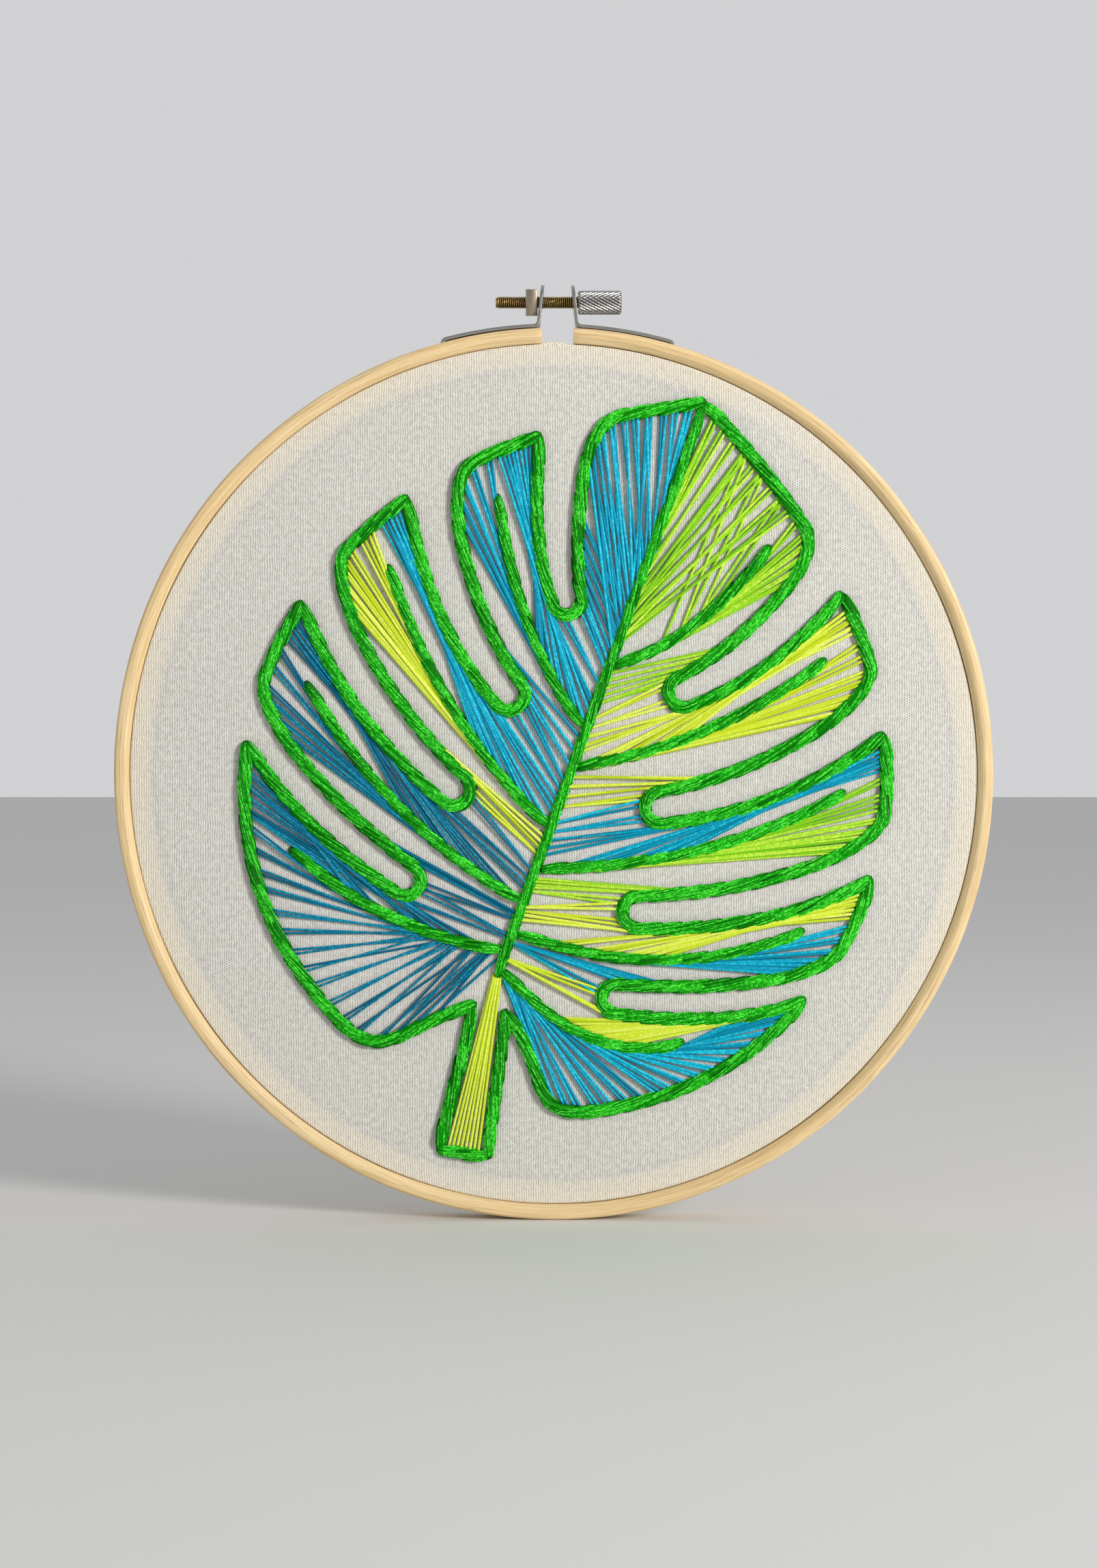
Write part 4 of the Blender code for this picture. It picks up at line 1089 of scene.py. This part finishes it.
def stem_stitches(path, width):
    """The strands of a line of stem stitches: lines in space, and radii and tones along them."""
    length = stations(path)[-1]
    stitches = max(2, round(length / STITCH_PITCH))
    t = np.linspace(0, 1, STRAND_STEPS)
    swell = np.clip(np.sin(math.pi * t), 0, 1)
    rise = swell**0.35
    spread = 0.6 + 0.4 * swell**0.5
    lean = STITCH_SLANT * (2 * t - 1)
    lines, radii, tones = [], [], []
    for k in range(stitches):
        stretch = STITCH_LENGTH * rng.uniform(0.92, 1.1)
        middle = (k + 0.5) * (length / stitches)
        low, high = max(0.0, middle - stretch / 2), min(length, middle + stretch / 2)
        shade = rng.uniform(0.45, 0.8)
        for place in np.linspace(-1, 1, STRANDS):
            s = np.clip(low + (high - low) * t + rng.uniform(-END_JITTER, END_JITTER), 0, length)
            s = s * (1 - 2e-3) + 1e-3 * length * t
            end = np.clip(np.minimum(s, length - s) / (width / 2), 0, 1)
            narrow = 0.25 + 0.75 * np.sqrt(end * (2 - end))
            share = np.clip(place * BUNDLE_SHARE * spread + lean, -1, 1)
            crown = np.sqrt(1 - (0.85 * share) ** 2)
            across = (width / 2 - STRAND_RADIUS) * narrow * share + rng.normal(0, STRAND_JITTER)
            height = (CORD_HEIGHT - STRAND_RADIUS) * crown * (0.15 + 0.85 * rise) * (0.6 + 0.4 * narrow)
            height = height + rng.normal(0, STRAND_JITTER)
            points = point_on(path, s) + across[:, None] * normals(path, s, 0.2 * MM)
            lines.append(on_cloth(points, height))
            radii.append(STRAND_RADIUS * (0.7 + 0.3 * rise) * rng.uniform(0.9, 1.1))
            # The tone varies at random from strand to strand, and falls towards each stitch's ends: painted
            # shade where the strands dive into the cloth
            tones.append(np.clip(shade + rng.uniform(-0.45, 0.45), 0, 1) * (0.1 + 0.9 * rise**1.5))
    return lines, radii, tones


def stitched_cord(name, runs, width):
    """A cord over one or more runs, which overlap where they meet."""
    cords = [stem_stitches(lengthened(run, CORD_OVERLAP), width) for run in runs]
    return tubes(name, *(sum(lists, []) for lists in zip(*cords)), STRAND_SIDES)


def behind(points, height):
    """Points of the drawing, at heights over the cloth's back."""
    return on_cloth(points, -(CLOTH_THICKNESS + height))


def back_stitches(path, width):
    """The short stitches that a line of stem stitches leaves on the cloth's back."""
    length = stations(path)[-1]
    count = max(2, round(length / STITCH_PITCH))
    lines = []
    for k in range(count):
        s = (k + 0.06 + 0.88 * BACK_SHARE) * length / count
        left = normals(path, np.clip(s, 0.4 * MM, length - 0.4 * MM))
        lean = rng.uniform(-0.12, 0.12) * (2 * BACK_SHARE - 1)
        for place in np.linspace(-1, 1, BACK_STRANDS):
            across = width * (0.26 * place + lean) + rng.normal(0, STRAND_JITTER)
            height = BACK_HEIGHT * BACK_RISE * (1 - 0.3 * abs(place)) + rng.normal(0, STRAND_JITTER)
            lines.append(behind(point_on(path, s) + across[:, None] * left, height))
    return lines


def back_threads(ways):
    """The steps that the strung threads take on the cloth's back, from hole to hole."""
    lines = []
    for start, end in ways:
        for shift in (-0.3, 0.3):
            drift = shift * MM * unit(left_of(end - start))
            points = start + BACK_SHARE[:, None] * (end - start) + drift
            lines.append(behind(points, (0.35 + rng.uniform(0, 0.3)) * MM * BACK_RISE))
    return lines


def knot(place, angle):
    """A small overhand knot on the cloth's back, with its tail."""
    t = np.linspace(0, 2 * math.pi, KNOT_POINTS)
    loop = np.stack([np.sin(t) + 0.6 * np.sin(2 * t), np.cos(t) - 0.6 * np.cos(2 * t)], axis=1) * KNOT_SIZE
    rise = KNOT_SIZE * (1.1 + 0.7 * np.sin(3 * t))
    tail = np.linspace(0, 1, KNOT_POINTS // 2)[1:, None]
    way = np.array([math.cos(angle), math.sin(angle)])
    run = loop[-1] + tail * KNOT_TAIL * way + 1.2 * MM * np.sin(4 * tail) * left_of(way)
    height = np.concatenate([rise, 0.3 * MM + (rise[-1] - 0.3 * MM) * (1 - tail[:, 0]) ** 4])
    return behind(place + np.vstack([loop, run]), height)


def strand_piece(name, lines, radius, sides):
    """Strands of one radius, each with its own tone."""
    return tubes(name, lines, radius, rng.uniform(0.15, 0.9, len(lines)), sides)


def cord_core(name, path, width, closed=False):
    """The middle of a cord, under its strands, in a dark green that paints the shade between them."""
    loop = looped(path) if closed else path
    length = stations(loop)[-1]
    first = 0 if closed else width
    stops = point_on(loop, np.linspace(first, length - first, round(length / CORE_PITCH) + 1))
    if closed:
        stops = stops[:-1]
    rows = [on_cloth(offset(stops, a * width, closed), h * CORD_HEIGHT) for a, h in CORE_SECTION]
    rows = np.stack(rows, axis=1)
    u, v = np.arange(len(rows) + 1) * CORE_PITCH, np.arange(len(CORE_SECTION) + 1) * MM
    # Tone 0 takes the core to its darkest: a painted shade
    tones = np.zeros(rows.shape[:2])
    return faces_out(grid(name, rows, u, v, wrap_u=closed, wrap_v=True, capped=not closed, tones=tones))


# The strung threads


def crossing(start, ends, line):
    """Whether each of the straight ways from a point crosses a line."""

    def turn(p, q, r):
        first, second = q - p, r - p
        return first[..., 0] * second[..., 1] - first[..., 1] * second[..., 0]

    a, b, ends = line[:-1], line[1:], ends[:, None]
    apart = turn(start, ends, a) * turn(start, ends, b) < 0
    return (apart & (turn(a, b, start) * turn(a, b, ends) < 0)).any(axis=1)


def lobe_places(side):
    """The blade's edge on one side, and where each slit's turn, each lobe's point and its shoulder lie."""
    edge = np.vstack([run if k == 0 else run[1:] for k, run in enumerate(blade_runs(side))])
    turns, points, shoulders = [], [0.0], []
    for slit in SLITS[side]:
        innermost = at(slit.end_along_mm * MM, (slit.end_out_mm - slit.end_radius_mm) * MM, side)
        turns.append(nearest_station(edge, innermost))
        points.append(nearest_station(edge, margin(math.radians(slit.mouth_deg + slit.down_deg), side)))
        lip = margin(math.radians(slit.mouth_deg - slit.up_deg) - SHOULDER, side)
        shoulders.append(nearest_station(edge, lip))
    return edge, turns, points, shoulders


def even(start, end, pitch, least=5):
    """Stops on the edge at about an even pitch, and the share of the way that each has come."""
    count = max(least, round(abs(end - start) / pitch) + 1)
    stops = np.linspace(start, end, count)
    return stops + rng.uniform(-0.12, 0.12, count) * pitch, np.linspace(0, 1, count)


class Strung:
    """The threads of one fan: where they end, what they are rooted in, and what they can't cross."""

    def __init__(self, fan, outline):
        self.side = fan.side
        self.edge, self.turns, self.points, self.shoulders = lobe_places(fan.side)
        self.length = stations(self.edge)[-1]
        self.inside = looped(offset(outline, -(UNDER_EDGE - BARRIER), closed=True))
        self.lines, self.tones, self.steps = [], [], []

    def end(self, station):
        """The hole at a station of the edge, under the outline's cord."""
        station = min(max(station, 1 * MM), self.length - 1 * MM)
        return point_on(self.edge, station) - self.side * UNDER_EDGE * normals(self.edge, station)

    def rooted(self, line, way, wide):
        """Roots along the side of a rib or the midrib, and the line that hides what lies beyond it."""
        places = np.linspace(FIRST_ROOT, stations(line)[-1] - LAST_ROOT, ROOTS)
        barrier = offset(line, way * self.side * (wide - BARRIER))
        return point_on(line, places) + way * self.side * wide * normals(line, places), barrier

    def on_midrib(self, low, high):
        """Roots along this side of the midrib, between two places on it."""
        return self.rooted(np.array([at(low, 0), at(high, 0)]), 1, UNDER_MIDRIB)[0]

    def add(self, stops, roots, barriers, *picks, spread=0.03):
        """Pairs of threads from stops on the edge, each to a root at a picked share of those in sight.

        A pick gives that share from how far along the stops one lies, for each stop or each second or so.
        """
        holes = [self.end(station) for station in stops[0]]
        self.steps += list(zip(holes, holes[1:]))
        for k, (station, share) in enumerate(zip(*stops)):
            level = rng.uniform(0, 1)
            for pick, step in picks:
                if k % step:
                    continue
                for way in (-0.5, 0.5):
                    end = self.end(station + way * PAIR_WIDTH)
                    blocked = crossing(end, roots, self.inside)
                    for barrier in barriers:
                        blocked |= crossing(end, roots, barrier)
                    seen = np.flatnonzero(~blocked)
                    if not len(seen):
                        continue
                    wish = pick(share) + (way + rng.uniform(-0.3, 0.3)) * spread
                    chosen = seen[0] + max(0, wish) * (seen[-1] - seen[0])
                    self.string(end, roots[min(round(chosen), seen[-1])], level)

    def string(self, end, root, level):
        """One thread, at a level between the lowest and the highest, unless it would be too short."""
        length = np.linalg.norm(end - root)
        if length < SHORTEST_THREAD:
            return
        high = THREAD_LOW + (THREAD_HIGH - THREAD_LOW) * level + rng.uniform(-0.12, 0.12) * MM
        self.lines.append(thread_line(root, end, max(high, THREAD_LOW)))
        self.tones.append(rng.uniform(0.15, 1))


def thread_line(start, end, high):
    """A thread pulled straight between two holes in the cloth, with its bends near them."""
    length = np.linalg.norm(end - start)
    share = np.concatenate([THREAD_BENDS, [length / 2], length - THREAD_BENDS[::-1]])[:, None] / length
    height = np.concatenate([THREAD_RISE, [1], THREAD_RISE[::-1]]) * (high + THREAD_SUNK) - THREAD_SUNK
    return on_cloth(start + share * (end - start), height)


def threads(fan, outline):
    """The threads of a fan: those to its rib and, beside it, those to the midrib."""
    strung = Strung(fan, outline)
    side, points, turns, shoulders = fan.side, strung.points, strung.turns, strung.shoulders
    pitch = fan.pitch_mm * MM
    if fan.rib is None:
        # The left half of the tip lobe has no rib, so its threads spring from the midrib alone
        stops = even(EDGE_GAP + 2 * MM, shoulders[0] + SHOULDER_REACH, pitch)
        picks = (lambda s: 0.62 - 0.62 * s, 1), (lambda s: 0.3 - 0.25 * s, 3)
        strung.add(stops, strung.on_midrib(TIP_LOBE_SPLIT, TIP_ROOT), [], *picks, spread=0.09)
        stops = even(turns[0] - 1.5 * TURN_REACH, turns[0] - 1 * MM, 1.3 * pitch)
        roots = strung.on_midrib(TIP_LOBE_SPLIT - 2 * MM, TIP_LOBE_SPLIT + 14 * MM)
        strung.add(stops, roots, [], (lambda s: 0.9 - 0.85 * s, 1))
        return strung
    ribs = RIBS[side]
    rib = ribs[fan.rib]
    line = rib_path(rib, side)
    start = rib.start_mm * MM
    aim = nearest_station(strung.edge, line[-1] + RIB_SHORT * unit(line[-1] - line[-2]))
    if fan.half == "stalk":
        # The rib's side towards the stalk, and the edge along the next slit, whose threads reach the midrib
        roots, barrier = strung.rooted(line, -1, UNDER_RIB)
        if fan.rib == len(ribs) - 1:
            stops = even(aim + EDGE_GAP, strung.length - LOBE_FOOT_GAP, pitch)
            strung.add(stops, roots, [barrier], (lambda s: 0.5 * (1 - s) + 0.02, 1), spread=0.05)
            return strung
        stops = even(aim + EDGE_GAP, shoulders[rib.lobe] + SHOULDER_REACH, pitch, 5)
        strung.add(stops, roots, [barrier], (lambda s: 0.02, 1), (lambda s: 0.22 * (1 - s) + 0.04, 3))
        split = (start + ribs[fan.rib + 1].start_mm * MM) / 2
        stops = even(turns[rib.lobe] - TURN_REACH, turns[rib.lobe] - 0.5 * MM, 1.15 * pitch, 3)
        roots = strung.on_midrib(split + 1 * MM, start - 1.5 * MM)
        strung.add(stops, roots, [barrier], (lambda s: 1 - s, 1))
        return strung
    roots, barrier = strung.rooted(line, 1, UNDER_RIB)
    if rib.lobe == 0:
        # The tip lobe's rib: threads from the midrib, and others across them from the rib
        stops = even(EDGE_GAP + 3 * MM, aim - EDGE_GAP, pitch)
        upper = strung.on_midrib(start + 2 * MM, TIP_ROOT)
        picks = (lambda s: 0.42 * (1 - s) ** 1.5, 1), (lambda s: 0.1 * (1 - s), 3)
        strung.add(stops, upper, [barrier], *picks, spread=0.08)
        later = [stop[len(stop) // 3:] for stop in stops]
        strung.add(later, roots, [barrier], (lambda s: 0.2 + 0.45 * s, 2), spread=0.1)
        return strung
    # The rib's side towards the tip, and the edge along the slit before it, whose threads reach the midrib
    stops = even(points[rib.lobe] + CORNER_GAP, aim - EDGE_GAP, pitch, 4)
    picks = (lambda s: 0.01, 1), (lambda s: 0.12 + 0.1 * s, 2), (lambda s: 0.4 * s + 0.1, 4)
    strung.add(stops, roots, [barrier], *picks)
    upper = ribs[fan.rib - 1].start_mm * MM if fan.rib else 2 * TIP_LOBE_SPLIT - start
    split = (start + upper) / 2
    stops = even(turns[rib.lobe - 1] + TURN_REACH, turns[rib.lobe - 1] + 0.5 * MM, 1.15 * pitch, 3)
    roots = strung.on_midrib(start + 1.5 * MM, split - 1 * MM)
    strung.add(stops, roots, [barrier], (lambda s: s, 1))
    return strung


def stalk_threads():
    """The bundle that leaves the midrib's foot and spreads down the stalk."""
    (left_top, left_foot), (right_top, right_foot) = stalk_side(LEFT), stalk_side(RIGHT)
    across = unit(right_top - left_top)
    top = LEAF_BASE - 0.4 * MM * leaning(LEAF_TILT)[0]
    foot = (left_foot + right_foot) / 2
    lines, tones = [], []
    for k, share in enumerate(np.linspace(-1, 1, STALK_THREADS)):
        end = foot + share * (STALK_HALF_FOOT - OUTLINE_WIDTH / 2 - 0.4 * MM) * across
        start = top + share * STALK_BUNDLE * across
        lines.append(thread_line(start, end, THREAD_LOW + (0.2 + 0.35 * (k % 2)) * MM))
        tones.append(rng.uniform(0.3, 1))
    return lines, tones


# Putting it together


def frays():
    """Loose yarn ends along the cloth's trimmed border."""
    lines = []
    for angle in rng.uniform(0, 2 * math.pi, FRAYS):
        radius = CLOTH_OUTSIDE - rng.uniform(0.2, 0.8) * MM
        reach, drift = rng.uniform(0.3, 1.3) * MM, rng.uniform(-0.008, 0.008)
        share = np.linspace(0, 1, 4)
        y = CLOTH_TRIM - FRAY_ROOT + share * (reach + FRAY_ROOT)
        lines.append(round_hoop(radius, angle + drift * share**2, y))
    return strand_piece("frayed_border", lines, FRAY_RADIUS, 4)


def dress_hoop(looks, stitched):
    dressed(outer_ring(), looks["outer bamboo"], "bamboo", "outer_ring")
    ring = dressed(inner_ring(), looks["inner bamboo"], "bamboo", "inner_ring")
    sheet = dressed(cloth(stitched), looks["cloth"], "cloth", "cloth")
    dressed(frays(), looks["yarn"], "cloth")


def dress_clamp(looks):
    for side, word in WORDS.items():
        dressed(bracket(side), looks["steel"], "steel", f"bracket_{word}")
    dressed(threaded_rod(), looks["brass"], "brass", "clamp_screw")
    dressed(knurled_knob(), looks["bright steel"], "steel")
    dressed(square_nut(), looks["old nickel"], "steel", "nut")


def dress_cords(looks, outline):
    """The outline and the ribs, with the stitches on the cloth's back. It gives the ribs' knots."""
    for name, runs in zip(("outline_stitches_right", "outline_stitches_left"), outline_runs()):
        dressed(stitched_cord(name, runs, OUTLINE_WIDTH), looks["green"], "green_floss", "leaf_outline")
    core = cord_core("outline_core", outline_path(CORE_CORNER_RADIUS), OUTLINE_WIDTH, True)
    dressed(core, looks["shaded green core"], "green_floss")
    midrib = np.array([at(-MIDRIB_FOOT, 0), at(MIDRIB_LENGTH - 1.2 * MM, 0)])
    ribs = [("midrib", midrib, MIDRIB_WIDTH)]
    for side, word in WORDS.items():
        for k, rib in enumerate(RIBS[side]):
            line = rib_path(rib, side)
            ribs.append((f"rib_{word}_{k + 1}", part_of(line, 1.1 * MM, stations(line)[-1]), RIB_WIDTH))
    backs = back_stitches(outline, OUTLINE_WIDTH)
    knots = []
    for node, line, width in ribs:
        dressed(stitched_cord(node + "_stitches", [line], width), looks["green"], "green_floss", node)
        dressed(cord_core(node + "_core", line, width), looks["shaded green core"], "green_floss")
        backs += back_stitches(line, width)
        knots.append(knot(line[-1], rng.uniform(0, 2 * math.pi)))
    dressed(strand_piece("back_stitches", backs, BACK_STRAND_RADIUS, 4), looks["green"], "green_floss")
    return knots


def dress_threads(looks, outline, rib_knots):
    """The fans and the stalk's threads, with their steps and all the knots on the cloth's back."""
    knots = {"green": rib_knots, "blue": [], "lime": []}
    steps = {"blue": [], "lime": []}
    for fan in FANS:
        place = f"{WORDS[fan.side]}_{0 if fan.rib is None else fan.rib + 1}_{fan.half}"
        strung = threads(fan, outline)
        radius = SLIM_THREAD_RADIUS if fan.look == "deep blue" else THREAD_RADIUS
        piece = tubes(f"threads_{place}", strung.lines, radius, strung.tones, THREAD_SIDES)
        dressed(piece, looks[fan.look], fan.colour + "_thread", f"strings_{place}")
        steps[fan.colour] += back_threads(strung.steps)
        knots[fan.colour].append(knot(strung.steps[0][0], rng.uniform(0, 2 * math.pi)))
    lines, tones = stalk_threads()
    piece = tubes("threads_stalk", lines, THREAD_RADIUS, tones, THREAD_SIDES)
    dressed(piece, looks["lime"], "lime_thread", "strings_stalk")
    for word, sides, kinds in (("back_threads", 5, steps), ("knots", 6, knots)):
        for colour, lines in kinds.items():
            piece = strand_piece(f"{word}_{colour}", lines, THREAD_RADIUS, sides)
            dressed(piece, looks[colour], "green_floss" if colour == "green" else colour + "_thread")


# The studio: a pale floor, a pale sky, one large soft light from the upper right, and the photo's camera
PHOTO_WIDTH = 1607
PHOTO_HEIGHT = 2296
HOOP_PIXELS = 1290
HOOP_MIDDLE_PIXEL = (811, 1133)
CAMERA_AWAY = 0.62
SENSOR_WIDTH = 36
SKY_COLOUR = (0.86, 0.865, 0.88, 1)
SKY_IN_FRONT = 0.42
SKY_BEHIND = 0.74
SKY_BLEND = 0.6
FLOOR_HALF = 20
FLOOR_COLOUR = (0.76, 0.755, 0.745)

Light = namedtuple("Light", "name place size power colour")
LIGHTS = (
    Light("key", (1.02, -0.95, 0.28), 0.42, 16.0, (1.0, 0.975, 0.94)),
    Light("fill", (-1.2, -1.4, -0.1), 1.2, 1.5, (0.93, 0.96, 1.0)),
)


def pale(name, colour):
    look = Look(name, roughness=0.9)
    mottle = look.noise(look.place(3, 3, 3))
    return look.join(look.blend(look.range(mottle, 0.3, 0.7), colour, tuple(c * 0.985 for c in colour)))


def area_light(light, target):
    data = bpy.data.lights.new(light.name, "AREA")
    data.shape = "DISK"
    data.size = light.size
    data.energy = light.power
    data.color = light.colour
    lamp = placed(light.name, data)
    lamp.location = light.place
    lamp.rotation_euler = (Vector(target) - Vector(light.place)).to_track_quat("-Z", "Y").to_euler()


def floor():
    """A wide pale floor under the hoop."""
    ground = HOOP_Z - HOOP_RADIUS * HOOP_TALLER
    corners = [(x * FLOOR_HALF, y * FLOOR_HALF, ground) for x, y in ((-1, -1), (1, -1), (1, 1), (-1, 1))]
    mesh = bpy.data.meshes.new("floor")
    mesh.from_pydata(corners, [], [(0, 1, 2, 3)])
    mesh.materials.append(pale("pale_floor", FLOOR_COLOUR))
    placed("floor", mesh)


def sky():
    """A pale sky, which is brighter behind the hoop than in front of it."""
    world = bpy.data.worlds.new("pale_sky")
    world.use_nodes = True
    nodes, links = world.node_tree.nodes, world.node_tree.links
    nodes["Background"].inputs["Color"].default_value = SKY_COLOUR
    way, parts, share = (nodes.new("ShaderNode" + kind) for kind in ("TexCoord", "SeparateXYZ", "MapRange"))
    links.new(way.outputs["Generated"], parts.inputs[0])
    links.new(parts.outputs["Y"], share.inputs["Value"])
    for ends, low, high in (("From", -SKY_BLEND, SKY_BLEND), ("To", SKY_IN_FRONT, SKY_BEHIND)):
        share.inputs[ends + " Min"].default_value = low
        share.inputs[ends + " Max"].default_value = high
    links.new(share.outputs[0], nodes["Background"].inputs["Strength"])
    bpy.context.scene.world = world


def photo_camera():
    """A camera that sees the hoop's front edge in the size and place that it has in the photo."""
    camera = bpy.data.cameras.new("camera")
    eye = placed("camera", camera)
    scale = 2 * HOOP_RADIUS / HOOP_PIXELS
    right = (PHOTO_WIDTH / 2 - HOOP_MIDDLE_PIXEL[0]) * scale
    up = (HOOP_MIDDLE_PIXEL[1] - PHOTO_HEIGHT / 2) * scale
    eye.location = (HOOP_X + right, RING_FRONT - CAMERA_AWAY, HOOP_Z + up)
    eye.rotation_euler = (math.pi / 2, 0, 0)
    camera.sensor_fit = "HORIZONTAL"
    camera.sensor_width = SENSOR_WIDTH
    camera.lens = SENSOR_WIDTH * CAMERA_AWAY / (PHOTO_WIDTH * scale)
    camera.clip_start = 0.01
    bpy.context.scene.camera = eye


def studio():
    bpy.context.scene.view_settings.view_transform = "Standard"
    floor()
    sky()
    for light in LIGHTS:
        area_light(light, (HOOP_X, 0, HOOP_Z))
    photo_camera()


def main():
    outline = outline_path(CORNER_RADIUS)
    looks = all_looks()
    dress_hoop(looks, looped(outline))
    dress_clamp(looks)
    dress_threads(looks, outline, dress_cords(looks, outline))
    studio()


main()
